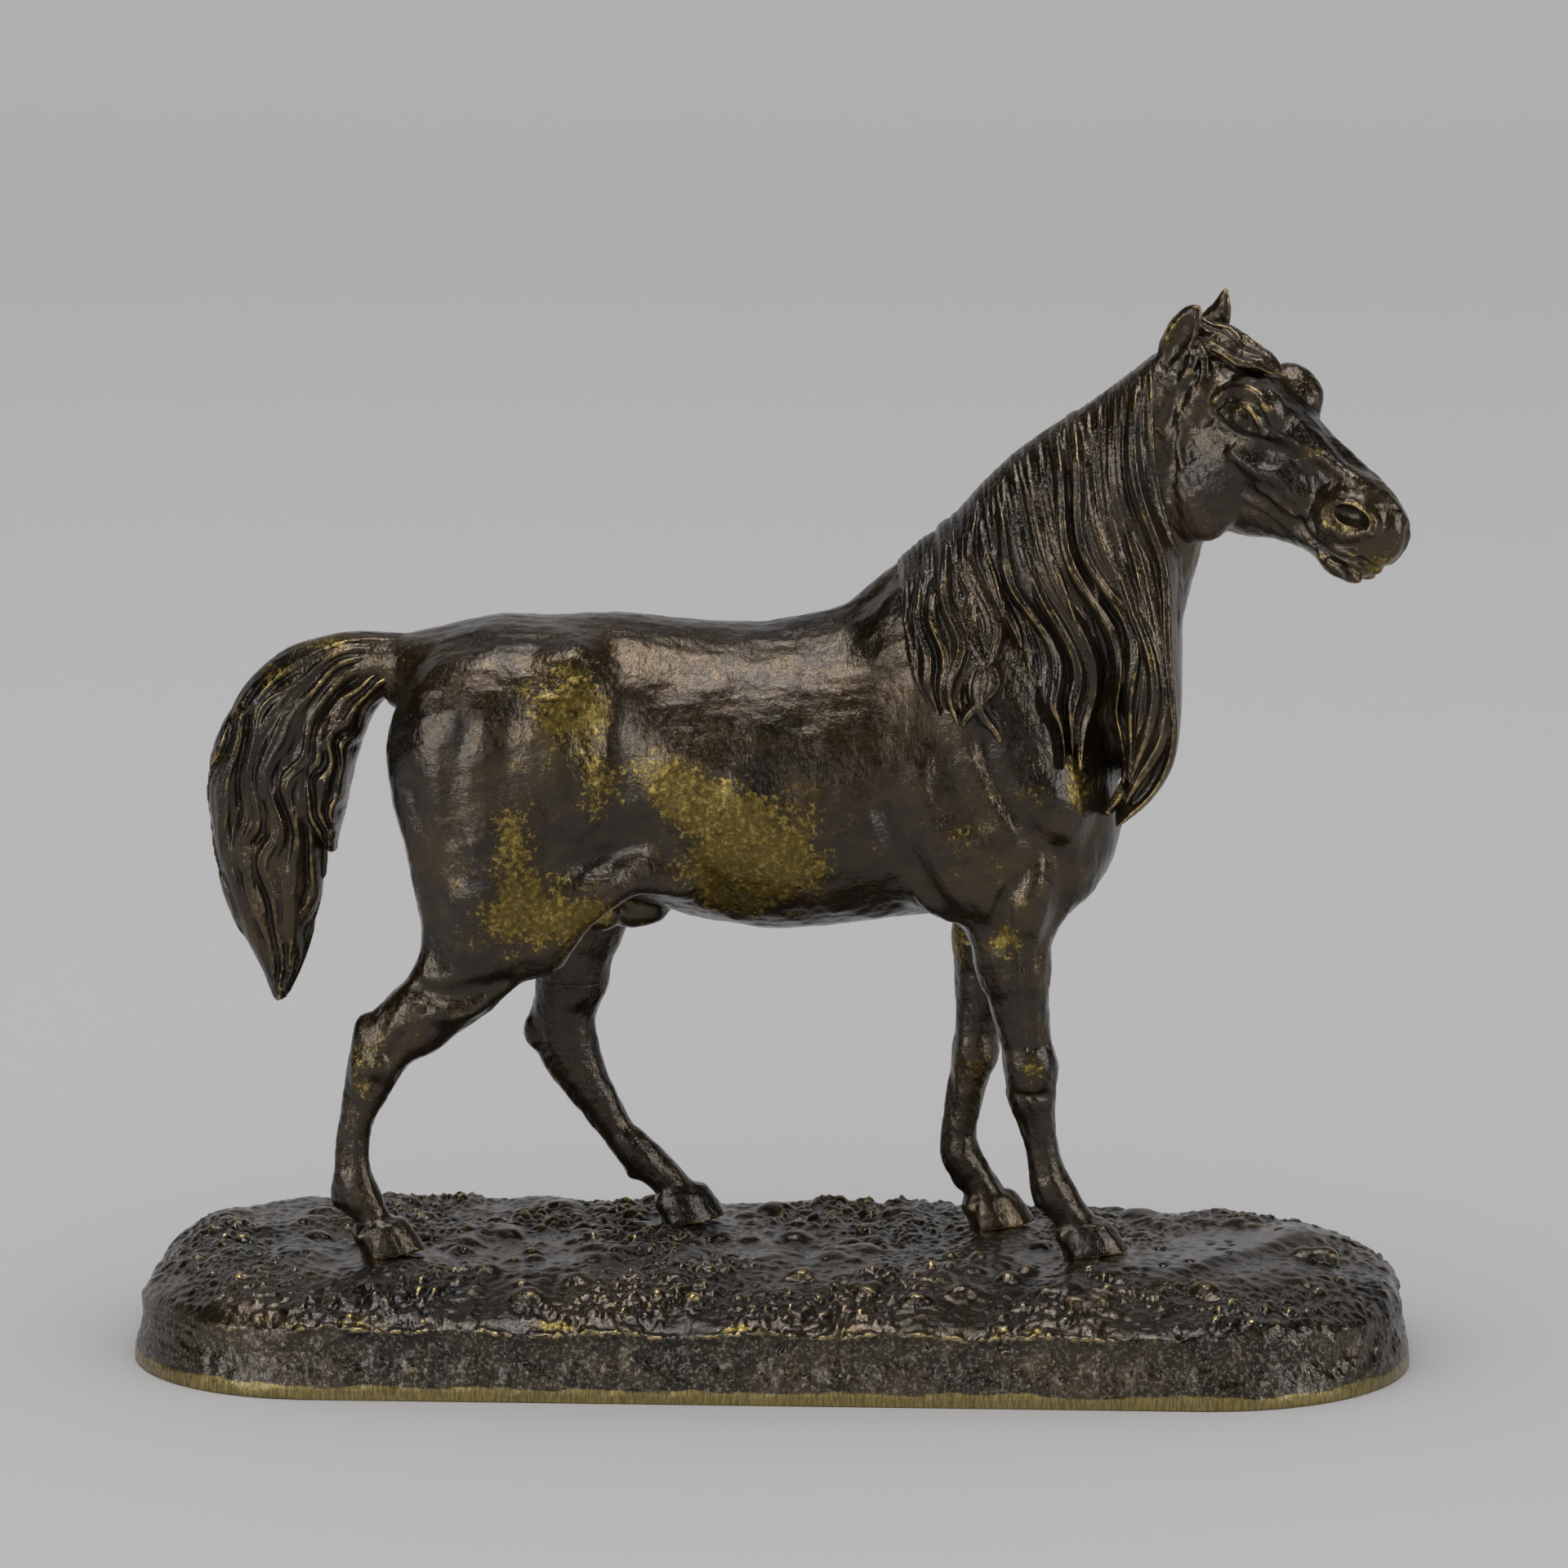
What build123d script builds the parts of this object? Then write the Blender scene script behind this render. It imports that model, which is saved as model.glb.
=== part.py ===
"""A bronze statuette of a standing horse on a rough ground base, put together from separate castings.

Frame: millimetres, +Z up, the horse faces +X and its right side faces -Y.
The origin is the middle of the base's foot, on the surface that it stands on.
The trunk is cast over a core. The neck, the tail and the four lower legs are cast apart: each has a spigot
that enters a socket in the trunk and is held by a cross pin. A stud in each hoof goes through the base to a
washer and a nut in the hollow underneath.
"""

import math
import os

from build123d import *

# The base
BASE_LENGTH = 160.0
BASE_WIDTH = 60.0
BASE_CORNER = 26.0
BASE_BAND = 2.0  # height of the filed band at the foot of the wall
BASE_INSET = 2.6  # how far the wall leans in between the band and the rim
RIM_HEIGHT = 12.2
RIM_ROUND = 1.2
GROUND = 13.6  # level of the ground under the hooves
GROUND_INSET = 9.0  # from the foot's outline to the edge of the level ground
GROUND_SLOPE = 4.0  # width of the slope around the level ground
BASE_WALL = 3.5
FLOOR = 3.6  # thickness of the ground over the hollow
BOSS_RADIUS = 4.2
BOSS_DEPTH = 2.2
# Stones that stand out of the ground: x, y, length, width, height
STONES = [(-46.0, 6.0, 9.0, 7.0, 1.5), (7.0, -9.5, 8.5, 6.0, 1.4), (-8.5, -15.0, 8.0, 6.5, 1.3), (56.0, 8.0, 16.0, 9.0, 1.6)]

# The fasteners
STUD_RADIUS = 1.25
STUD_IN_HOOF = 2.6
STUD_PLAY = 0.15
STUD_PAST_NUT = 0.7
WASHER_RADIUS = 2.9
WASHER_THICKNESS = 0.6
NUT_ACROSS_FLATS = 4.6
NUT_HEIGHT = 2.0
PIN_RADIUS = 0.6
STUD_BACK = 0.6  # how far the studs lie behind the middle of the sole
CORE_PLUG_RADIUS = 0.55
CORE_PLUG_PLACE = (-17.5, 63.5)  # x and z, on both flanks

# The joints between the castings
SPIGOT_SHARE = 0.56  # of the section that the spigot leaves
SPIGOT_GAP = 0.05
LEG_SPIGOT = 5.0
NECK_SPIGOT = 6.0
TAIL_SPIGOT = 6.0

# Trunk and core sections square to X: x, height of the middle, half height, half width
TRUNK = [
    (-45.5, 84.0, 4.6, 3.6),
    (-40.0, 79.6, 10.8, 10.0),
    (-32.0, 77.6, 15.0, 13.4),
    (-22.0, 76.2, 17.2, 14.4),
    (-10.0, 74.6, 17.7, 15.3),
    (2.0, 73.2, 18.8, 15.6),
    (14.0, 75.8, 20.6, 14.2),
    (26.0, 77.0, 20.4, 12.4),
    (35.0, 75.8, 17.6, 10.6),
    (41.0, 73.6, 11.0, 7.2),
    (43.6, 72.6, 5.0, 3.6),
]
CORE = [
    (-31.0, 76.0, 4.0, 3.5),
    (-22.0, 74.0, 11.6, 6.8),
    (-8.0, 73.0, 12.4, 7.8),
    (6.0, 73.6, 13.0, 7.8),
    (18.0, 77.4, 12.6, 7.0),
    (26.0, 79.0, 9.0, 4.5),
]
# Limb sections, from the top down: x, y, z, half depth fore and aft, half width
LEGS = {
    "right_hind": [
        (-31.0, -6.4, 83.0, 10.0, 5.6),
        (-35.0, -8.4, 73.0, 12.2, 6.3),
        (-36.6, -9.0, 63.0, 11.2, 6.0),
        (-38.2, -9.4, 54.0, 8.6, 5.0),
        (-44.4, -9.8, 43.6, 4.6, 3.7),
        (-47.9, -10.0, 40.4, 4.2, 3.0),
        (-50.3, -10.0, 36.0, 3.0, 2.5),
        (-51.5, -10.0, 31.5, 2.2, 2.0),
        (-51.9, -10.1, 26.0, 1.95, 1.8),
        (-51.6, -10.2, 20.6, 2.8, 2.2),
        (-49.6, -10.3, 17.6, 2.0, 1.9),
    ],
    "left_hind": [
        (-30.5, 6.4, 83.0, 10.0, 5.6),
        (-32.0, 8.4, 73.0, 11.8, 6.3),
        (-29.6, 9.0, 63.0, 9.8, 6.0),
        (-26.6, 9.3, 54.0, 7.0, 4.8),
        (-25.6, 9.5, 45.0, 4.5, 3.6),
        (-26.8, 9.5, 40.4, 4.2, 3.1),
        (-25.4, 9.5, 35.0, 3.8, 2.8),
        (-22.4, 9.5, 29.6, 2.7, 2.1),
        (-19.5, 9.6, 24.9, 2.2, 1.8),
        (-16.2, 9.7, 20.6, 2.7, 2.1),
        (-13.7, 9.8, 18.0, 2.0, 1.9),
    ],
    "right_fore": [
        (20.0, -5.0, 94.0, 7.0, 3.6),
        (26.5, -7.2, 83.0, 10.6, 4.9),
        (29.5, -7.8, 71.0, 11.0, 5.0),
        (29.4, -7.8, 60.5, 7.8, 4.5),
        (30.2, -7.2, 51.0, 4.8, 3.5),
        (31.3, -6.9, 43.5, 3.5, 2.9),
        (32.4, -6.7, 38.6, 3.4, 2.9),
        (32.9, -6.6, 35.0, 3.0, 2.6),
        (33.7, -6.5, 30.0, 2.0, 1.9),
        (34.2, -6.4, 25.5, 2.1, 1.8),
        (35.0, -6.3, 22.0, 2.8, 2.1),
        (37.4, -6.2, 19.0, 2.1, 2.0),
    ],
    "left_fore": [
        (20.0, 5.0, 94.0, 7.0, 3.6),
        (26.5, 7.2, 83.0, 10.6, 4.9),
        (28.6, 7.8, 71.0, 10.6, 5.0),
        (27.4, 7.8, 60.5, 7.2, 4.5),
        (26.4, 8.2, 51.0, 4.4, 3.4),
        (25.8, 8.6, 43.4, 3.5, 2.9),
        (25.1, 8.8, 37.0, 3.2, 2.8),
        (24.2, 9.0, 33.2, 2.6, 2.4),
        (23.4, 9.1, 28.0, 2.1, 1.8),
        (22.9, 9.2, 22.8, 2.7, 2.1),
        (25.2, 9.3, 19.2, 2.1, 2.0),
    ],
}
LEG_JOINT = 4  # the station where a lower leg is parted from the trunk
# Middle of each sole
HOOVES = {
    "right_hind": (-47.0, -10.4),
    "left_hind": (-11.0, 9.8),
    "right_fore": (41.0, -6.1),
    "left_fore": (28.4, 9.3),
}
SOLE_HALF_LENGTH = 4.1
SOLE_HALF_WIDTH = 3.5
CORONET_LIFT = 3.9
CORONET_BACK = 1.8  # how far the coronet lies behind the middle of the sole
CORONET_SHARE = 0.72  # of the sole's size
PASTERN_SHARE = 0.6
PASTERN_DEPTH = 1.5  # how far the pastern runs down inside the hoof

NECK = [
    (28.3, 0.0, 86.6, 17.6, 9.6),
    (33.6, 0.0, 95.2, 16.2, 8.4),
    (38.4, 0.0, 102.9, 14.4, 7.4),
    (43.0, 0.0, 109.6, 11.8, 6.4),
    (46.6, 0.0, 115.0, 9.2, 5.6),
    (49.4, 0.0, 120.0, 7.0, 5.0),
]
NECK_JOINT = 1
POLL = Vector(51.0, 0.0, 121.7)
HEAD_YAW = 25.0  # towards the horse's right
HEAD_PITCH = 30.5  # below level
# Head sections square to its axis: distance from the poll, top and underside above the axis, half width
HEAD = [
    (-3.0, 3.4, -7.0, 3.4),
    (2.0, 6.0, -10.2, 4.8),
    (8.0, 7.4, -11.6, 6.2),
    (13.0, 6.8, -11.6, 5.8),
    (18.0, 5.6, -8.8, 4.2),
    (23.0, 4.4, -6.4, 3.3),
    (28.0, 3.8, -6.4, 3.9),
    (32.5, 2.6, -6.8, 3.2),
    (34.8, 1.0, -4.4, 1.6),
]
RIGHT_EAR = [(49.6, -3.2, 124.0, 2.3, 1.8), (50.2, -3.5, 128.6, 2.2, 1.6), (51.3, -3.7, 132.8, 0.4, 0.3)]
LEFT_EAR = [(52.6, 3.0, 123.6, 2.3, 1.8), (53.8, 3.2, 128.2, 2.2, 1.6), (55.0, 3.2, 133.2, 0.4, 0.3)]
FORELOCK = [
    (52.0, -0.4, 125.8, 2.6, 2.2),
    (57.5, -2.8, 126.0, 2.6, 3.4),
    (62.6, -5.2, 123.2, 2.8, 3.2),
    (66.0, -6.6, 118.6, 0.8, 1.0),
]
# Mane locks on the right side, from crest to tip: x, y, z, half width, half thickness
MANE = [
    [(14.0, -1.0, 95.6, 3.0, 1.8), (17.6, -8.4, 91.0, 3.4, 2.0), (21.0, -12.6, 81.5, 1.0, 0.8)],
    [(19.0, -1.0, 100.0, 3.4, 2.0), (22.6, -9.0, 93.0, 4.0, 2.2), (26.4, -13.2, 79.8, 1.2, 0.8)],
    [
        (25.0, -1.0, 106.4, 3.8, 2.0),
        (28.6, -9.0, 98.4, 4.2, 2.4),
        (33.0, -12.6, 86.0, 3.6, 2.0),
        (37.6, -12.8, 71.5, 1.0, 0.8),
    ],
    [
        (31.0, -1.0, 112.2, 3.8, 2.0),
        (34.4, -8.4, 104.0, 4.2, 2.4),
        (38.4, -10.8, 89.5, 3.8, 2.2),
        (42.0, -10.6, 68.0, 1.0, 0.8),
    ],
    [
        (37.6, -1.0, 117.2, 3.8, 2.0),
        (40.4, -7.6, 108.6, 4.2, 2.4),
        (43.4, -9.2, 94.0, 3.8, 2.2),
        (46.2, -8.8, 74.0, 1.0, 0.8),
    ],
    [
        (43.6, -1.0, 121.4, 3.2, 1.8),
        (45.0, -6.8, 113.6, 3.4, 2.2),
        (46.8, -8.2, 99.0, 3.2, 2.0),
        (49.6, -7.0, 79.0, 0.9, 0.8),
    ],
]
# Tail sections: x, y, z, half depth in the plane of symmetry, half width
TAIL = [
    (-44.6, 0.0, 87.4, 2.9, 2.6),
    (-50.0, 0.0, 87.0, 3.3, 2.9),
    (-55.6, 0.0, 84.6, 4.8, 3.4),
    (-59.2, 0.0, 80.0, 7.0, 3.9),
    (-61.0, 0.0, 73.6, 8.4, 4.4),
    (-61.9, 0.0, 66.0, 7.6, 4.6),
    (-62.3, 0.0, 58.5, 5.7, 4.0),
    (-61.9, 0.0, 51.0, 3.5, 2.8),
    (-61.9, 0.0, 44.8, 0.9, 0.9),
]


def ring(centre, along):
    """A plane square to a direction, with local X in the plane of symmetry and local Y across it."""
    return Plane(origin=centre, x_dir=Vector(0, 1, 0).cross(along), z_dir=along)


def rings(stations):
    """One plane at each station, square to the line between the stations before and after it."""
    middles = [Vector(x, y, z) for x, y, z, *_ in stations]
    planes = []
    for i, middle in enumerate(middles):
        along = middles[min(i + 1, len(middles) - 1)] - middles[max(i - 1, 0)]
        planes.append(ring(middle, Vector(along.X, 0, along.Z).normalized()))
    return planes


def section(plane, deep, wide):
    """One elliptical section."""
    with BuildSketch(plane) as sketch:
        Ellipse(deep, wide)
    return sketch.sketch.face()


def sections(stations):
    """The elliptical sections of a limb, from its first station to its last."""
    return [section(plane, *sizes[3:]) for plane, sizes in zip(rings(stations), stations)]


def upright_sections(stations):
    """Sections square to X, as the trunk and its core have."""
    return [section(ring((x, 0, z), Vector(1, 0, 0)), tall, wide) for x, z, tall, wide in stations]


def head_sections():
    """Sections square to the head's axis."""
    yaw, pitch = math.radians(HEAD_YAW), math.radians(HEAD_PITCH)
    forward = Vector(math.cos(yaw) * math.cos(pitch), -math.sin(yaw) * math.cos(pitch), -math.sin(pitch))
    left = Vector(math.sin(yaw), math.cos(yaw), 0)
    up = forward.cross(left)
    faces = []
    for place, top, underside, wide in HEAD:
        middle = POLL + forward * place + up * ((top + underside) / 2)
        faces.append(section(Plane(origin=middle, x_dir=up, z_dir=forward), (top - underside) / 2, wide))
    return faces


def lock_sections(points):
    """Sections square to a lock of hair's own path."""
    middles = [Vector(x, y, z) for x, y, z, *_ in points]
    faces = []
    for i, middle in enumerate(middles):
        along = middles[min(i + 1, len(middles) - 1)] - middles[max(i - 1, 0)]
        faces.append(section(ring(middle, along.normalized()), *points[i][3:]))
    return faces


def half_down(plane, length):
    """The middle of a joint's spigot, where its cross pin lies."""
    return plane.origin - plane.z_dir * (length / 2)


def write(part, name):
    """Writes a sub-part under its own name."""
    part.label = name
    export_step(part, f"parts/{name}.step")


os.makedirs("parts", exist_ok=True)

leg_planes = {name: rings(stations)[LEG_JOINT] for name, stations in LEGS.items()}
leg_pins = {name: half_down(plane, LEG_SPIGOT) for name, plane in leg_planes.items()}
neck_plane = rings(NECK)[NECK_JOINT]
neck_size = NECK[NECK_JOINT][3:]
neck_pin = half_down(neck_plane, NECK_SPIGOT)
tail_plane = ring((TAIL[0][0], 0, TAIL[0][2]), Vector(-1, 0, 0))
tail_size = TAIL[0][3:]
tail_pin = half_down(tail_plane, TAIL_SPIGOT)
across = Rotation(90, 0, 0)
near_half = Location((0, -BASE_WIDTH / 2, 0)) * across
far_half = Location((0, BASE_WIDTH / 2, 0)) * across

# The trunk's outside, with the thighs, the shoulders and the foot of the neck
with BuildPart() as envelope:
    loft(upright_sections(TRUNK))
    for stations in LEGS.values():
        loft(sections(stations)[: LEG_JOINT + 1])
    loft(sections(NECK))
    split(bisect_by=neck_plane, keep=Keep.BOTTOM)
    split(bisect_by=tail_plane, keep=Keep.BOTTOM)

# The rods that the cross pins are cut from also cut their holes
with BuildPart() as neck_rod:
    with Locations(Location((neck_pin.X, 0, neck_pin.Z)) * across):
        Cylinder(PIN_RADIUS, BASE_WIDTH)

with BuildPart() as tail_rod:
    with Locations(Location((tail_pin.X, 0, tail_pin.Z)) * across):
        Cylinder(PIN_RADIUS, BASE_WIDTH)

with BuildPart() as leg_rods:
    for name, point in leg_pins.items():
        half = near_half if name.startswith("right") else far_half
        with Locations(Location((point.X, 0, point.Z)) * half):
            Cylinder(PIN_RADIUS, BASE_WIDTH)

with BuildPart() as plug_rods:
    with Locations(Location((CORE_PLUG_PLACE[0], 0, CORE_PLUG_PLACE[1])) * across):
        Cylinder(CORE_PLUG_RADIUS, BASE_WIDTH)

# The trunk casting: sockets for every spigot, and the space that the core left, open to the neck's socket
with BuildPart() as body_casting:
    add(envelope.part)
    loft(upright_sections(CORE), mode=Mode.SUBTRACT)
    neck_socket = section(neck_plane, *[size * SPIGOT_SHARE + SPIGOT_GAP for size in neck_size])
    extrude(neck_socket, amount=-NECK_SPIGOT - SPIGOT_GAP, mode=Mode.SUBTRACT)
    tail_socket = section(tail_plane, *[size * SPIGOT_SHARE + SPIGOT_GAP for size in tail_size])
    extrude(tail_socket, amount=-TAIL_SPIGOT - SPIGOT_GAP, mode=Mode.SUBTRACT)
    for name, plane in leg_planes.items():
        sizes = [size * SPIGOT_SHARE + SPIGOT_GAP for size in LEGS[name][LEG_JOINT][3:]]
        extrude(section(plane, *sizes), amount=-LEG_SPIGOT - SPIGOT_GAP, mode=Mode.SUBTRACT)
    for rods in (neck_rod, tail_rod, leg_rods, plug_rods):
        add(rods.part, mode=Mode.SUBTRACT)
write(body_casting.part, "body_casting")

# The head and neck casting, with the ears, the forelock and the mane that falls on the right side
with BuildPart() as head_and_neck_casting:
    loft(sections(NECK))
    split(bisect_by=neck_plane, keep=Keep.TOP)
    loft(head_sections())
    for stations in (RIGHT_EAR, LEFT_EAR):
        loft(sections(stations))
    for points in [FORELOCK, *MANE]:
        loft(lock_sections(points))
    add(envelope.part, mode=Mode.SUBTRACT)
    neck_spigot = section(neck_plane, *[size * SPIGOT_SHARE for size in neck_size])
    extrude(neck_spigot, amount=-NECK_SPIGOT)
    add(neck_rod.part, mode=Mode.SUBTRACT)
write(head_and_neck_casting.part, "head_and_neck_casting")

# The tail casting
with BuildPart() as tail_casting:
    loft(sections(TAIL))
    add(envelope.part, mode=Mode.SUBTRACT)
    extrude(section(tail_plane, *[size * SPIGOT_SHARE for size in tail_size]), amount=-TAIL_SPIGOT)
    add(tail_rod.part, mode=Mode.SUBTRACT)
write(tail_casting.part, "tail_casting")

# The four lower legs, each with its hoof, which has a hole for its stud
for name, stations in LEGS.items():
    sole_x, sole_y = HOOVES[name]
    coronet_x = sole_x - CORONET_BACK
    with BuildPart() as leg_casting:
        lower = sections(stations)[LEG_JOINT:]
        pastern = section(
            Plane(origin=(coronet_x, sole_y, GROUND + CORONET_LIFT - PASTERN_DEPTH), x_dir=(1, 0, 0), z_dir=(0, 0, -1)),
            SOLE_HALF_LENGTH * PASTERN_SHARE,
            SOLE_HALF_WIDTH * PASTERN_SHARE,
        )
        loft([*lower, pastern])
        with BuildSketch(Plane.XY.offset(GROUND)) as sole:
            with Locations((sole_x, sole_y)):
                Ellipse(SOLE_HALF_LENGTH, SOLE_HALF_WIDTH)
        with BuildSketch(Plane.XY.offset(GROUND + CORONET_LIFT)) as coronet:
            with Locations((coronet_x, sole_y)):
                Ellipse(SOLE_HALF_LENGTH * CORONET_SHARE, SOLE_HALF_WIDTH * CORONET_SHARE)
        loft([sole.sketch.face(), coronet.sketch.face()])
        plane = leg_planes[name]
        extrude(section(plane, *[size * SPIGOT_SHARE for size in stations[LEG_JOINT][3:]]), amount=-LEG_SPIGOT)
        add(leg_rods.part, mode=Mode.SUBTRACT)
        with Locations((sole_x - STUD_BACK, sole_y, GROUND + STUD_IN_HOOF / 2)):
            Cylinder(STUD_RADIUS, STUD_IN_HOOF, mode=Mode.SUBTRACT)
    write(leg_casting.part, f"{name}_leg_casting")

# The pins and plugs, cut flush with the surface
with BuildPart() as neck_joint_pin:
    add(neck_rod.part)
    add(envelope.part, mode=Mode.INTERSECT)
write(neck_joint_pin.part, "neck_joint_pin")

with BuildPart() as tail_joint_pin:
    add(tail_rod.part)
    add(envelope.part, mode=Mode.INTERSECT)
write(tail_joint_pin.part, "tail_joint_pin")

with BuildPart() as leg_joint_pins:
    add(leg_rods.part)
    add(envelope.part, mode=Mode.INTERSECT)
write(leg_joint_pins.part, "leg_joint_pins")

with BuildPart() as core_pin_plugs:
    add(plug_rods.part)
    add(envelope.part, mode=Mode.INTERSECT)
    loft(upright_sections(CORE), mode=Mode.SUBTRACT)
write(core_pin_plugs.part, "core_pin_plugs")


def outline(inset):
    """The base's rounded outline, drawn in from the foot's outline."""
    return RectangleRounded(BASE_LENGTH - 2 * inset, BASE_WIDTH - 2 * inset, BASE_CORNER - inset)


def outline_face(height, inset):
    """The same outline as a face at a height."""
    with BuildSketch(Plane.XY.offset(height)) as sketch:
        outline(inset)
    return sketch.sketch.face()


def stone_faces(x, y, length, width, height):
    """The foot and the top of a low, flat-topped stone."""
    faces = []
    for level, inset in ((GROUND - 1.0, 0.0), (GROUND + height, height)):
        with BuildSketch(Plane.XY.offset(level)) as sketch:
            with Locations((x, y)):
                RectangleRounded(length - 2 * inset, width - 2 * inset, (width - 2 * inset) * 0.4)
        faces.append(sketch.sketch.face())
    return faces


stud_places = [(x - STUD_BACK, y) for x, y in HOOVES.values()]
hollow_top = GROUND - FLOOR

# The base casting: a shell, open underneath, with a drilled boss under each hoof
with BuildPart() as base_casting:
    extrude(outline_face(0, 0), amount=BASE_BAND)
    loft([outline_face(BASE_BAND, 0), outline_face(RIM_HEIGHT, BASE_INSET)])
    rim = base_casting.faces().sort_by(Axis.Z)[-1].edges()
    fillet(rim, RIM_ROUND)
    loft([outline_face(RIM_HEIGHT - 0.5, GROUND_INSET - GROUND_SLOPE), outline_face(GROUND, GROUND_INSET)])
    for stone in STONES:
        loft(stone_faces(*stone))
    loft([outline_face(0, BASE_WALL), outline_face(hollow_top, BASE_WALL + BASE_INSET)], mode=Mode.SUBTRACT)
    with Locations(*[(x, y, hollow_top - BOSS_DEPTH / 2) for x, y in stud_places]):
        Cylinder(BOSS_RADIUS, BOSS_DEPTH)
    with Locations(*[(x, y, GROUND / 2) for x, y in stud_places]):
        Cylinder(STUD_RADIUS + STUD_PLAY, GROUND, mode=Mode.SUBTRACT)
write(base_casting.part, "base_casting")

# The studs, washers and nuts, four of each
washer_top = hollow_top - BOSS_DEPTH
nut_top = washer_top - WASHER_THICKNESS
stud_end = nut_top - NUT_HEIGHT - STUD_PAST_NUT
stud_length = GROUND + STUD_IN_HOOF - stud_end

with BuildPart() as hoof_studs:
    with Locations(*[(x, y, stud_end + stud_length / 2) for x, y in stud_places]):
        Cylinder(STUD_RADIUS, stud_length)
    chamfer(hoof_studs.edges().group_by(Axis.Z)[0], 0.25)
write(hoof_studs.part, "hoof_studs")

with BuildPart() as base_washers:
    with Locations(*[(x, y, washer_top - WASHER_THICKNESS / 2) for x, y in stud_places]):
        Cylinder(WASHER_RADIUS, WASHER_THICKNESS)
        Cylinder(STUD_RADIUS + STUD_PLAY, WASHER_THICKNESS, mode=Mode.SUBTRACT)
write(base_washers.part, "base_washers")

with BuildPart() as base_nuts:
    with BuildSketch(Plane.XY.offset(nut_top)):
        with Locations(*stud_places):
            RegularPolygon(NUT_ACROSS_FLATS / 2, 6, major_radius=False)
            Circle(STUD_RADIUS, mode=Mode.SUBTRACT)
    extrude(amount=-NUT_HEIGHT)
write(base_nuts.part, "base_nuts")
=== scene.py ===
"""Looks for the bronze horse statuette. The castings are sculpted again as distance fields in the CAD's
frame, skinned to meshes, given a patinated bronze, and lit on a plain pale floor.

Sculpting is in millimetres, as in the CAD: +X is the way the horse faces, +Y its left side, +Z up.
"""

import copy
import math

import bpy
import numpy as np
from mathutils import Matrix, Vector


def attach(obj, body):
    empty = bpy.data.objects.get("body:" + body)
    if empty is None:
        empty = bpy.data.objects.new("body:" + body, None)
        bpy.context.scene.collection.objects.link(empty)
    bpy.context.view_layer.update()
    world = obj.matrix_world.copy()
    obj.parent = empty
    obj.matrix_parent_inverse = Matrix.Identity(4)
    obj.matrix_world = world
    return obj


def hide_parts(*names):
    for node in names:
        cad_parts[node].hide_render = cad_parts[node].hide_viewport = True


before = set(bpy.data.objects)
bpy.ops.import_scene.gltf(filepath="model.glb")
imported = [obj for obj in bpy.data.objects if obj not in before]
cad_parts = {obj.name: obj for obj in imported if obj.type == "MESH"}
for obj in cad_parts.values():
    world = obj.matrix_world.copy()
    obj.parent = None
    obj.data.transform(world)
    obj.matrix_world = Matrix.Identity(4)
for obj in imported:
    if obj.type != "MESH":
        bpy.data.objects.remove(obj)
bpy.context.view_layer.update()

COARSE = 1.0
BODY_STEP = 0.36 * COARSE
LEG_STEP = 0.25 * COARSE
HEAD_STEP = 0.2 * COARSE
HAIR_STEP = 0.2 * COARSE
BASE_STEP = 0.32 * COARSE
FAR = 6.0  # the distance that stands for "nowhere near"
LAP = 0.8  # how far neighbouring castings run into each other, so that no light shows through a joint
SIDES = (-1, 1)  # right, left

# Places shared with the CAD
GROUND = 14.0
UPRIGHT = np.eye(3)
POLL = np.array([51.0, 0.0, 121.7])
HEAD_YAW = math.radians(28)
HEAD_PITCH = math.radians(30.5)


# ---------------------------------------------------------------- distance fields


def ramp(value, start, end):
    """A straight rise from 0 at the start to 1 at the end."""
    return np.clip((value - start) / (end - start), 0, 1)


def draws(source, *ranges):
    """One random number from each of the ranges."""
    return [source.uniform(*ends) for ends in ranges]


def dot(places, origin, direction):
    """How far places lie from the origin along a direction."""
    return sum((p - o) * d for p, o, d in zip(places, origin, direction))


class Field:
    """Distances to a surface at evenly spaced points in a box, negative inside it."""

    def __init__(self, low, high, step):
        self.low = np.array(low, float)
        self.step = step
        counts = np.ceil((np.array(high, float) - self.low) / step).astype(int) + 1
        self.axes = [(a + step * np.arange(n)).astype(np.float32) for a, n in zip(self.low, counts)]
        self.d = np.full(counts, FAR, np.float32)

    def part(self, where):
        """An empty field over a part of this one."""
        made = copy.copy(self)
        made.axes = [axis[span] for axis, span in zip(self.axes, where)]
        made.d = np.full([axis.size for axis in made.axes], FAR, np.float32)
        return made

    def grid(self):
        """The coordinates of all the points, one array for each direction."""
        x, y, z = self.axes
        return x[:, None, None], y[None, :, None], z[None, None, :]

    def window(self, low, high):
        """The slice of the field inside a box, which may be empty, with its coordinates."""
        spans = [slice(*np.searchsorted(axis, ends)) for axis, ends in zip(self.axes, zip(low, high))]
        x, y, z = (axis[span] for axis, span in zip(self.axes, spans))
        return tuple(spans), x[:, None, None], y[None, :, None], z[None, None, :]

    def join(self, where, new, soft):
        """Adds a shape, with a fillet of about the soft size."""
        old = self.d[where]
        mix = np.clip(0.5 + 0.5 * (old - new) / soft, 0, 1)
        self.d[where] = old * (1 - mix) + new * mix - soft * mix * (1 - mix)

    def carve(self, where, new, soft):
        """Takes a shape away."""
        old = self.d[where]
        mix = np.clip(0.5 - 0.5 * (old + new) / soft, 0, 1)
        self.d[where] = old * (1 - mix) - new * mix + soft * mix * (1 - mix)


def rounded(one, other, soft):
    """The distance to what two shapes share, with the edge between them rounded off."""
    mix = np.clip(0.5 - 0.5 * (one - other) / soft, 0, 1)
    return one * (1 - mix) + other * mix + soft * mix * (1 - mix)


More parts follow.
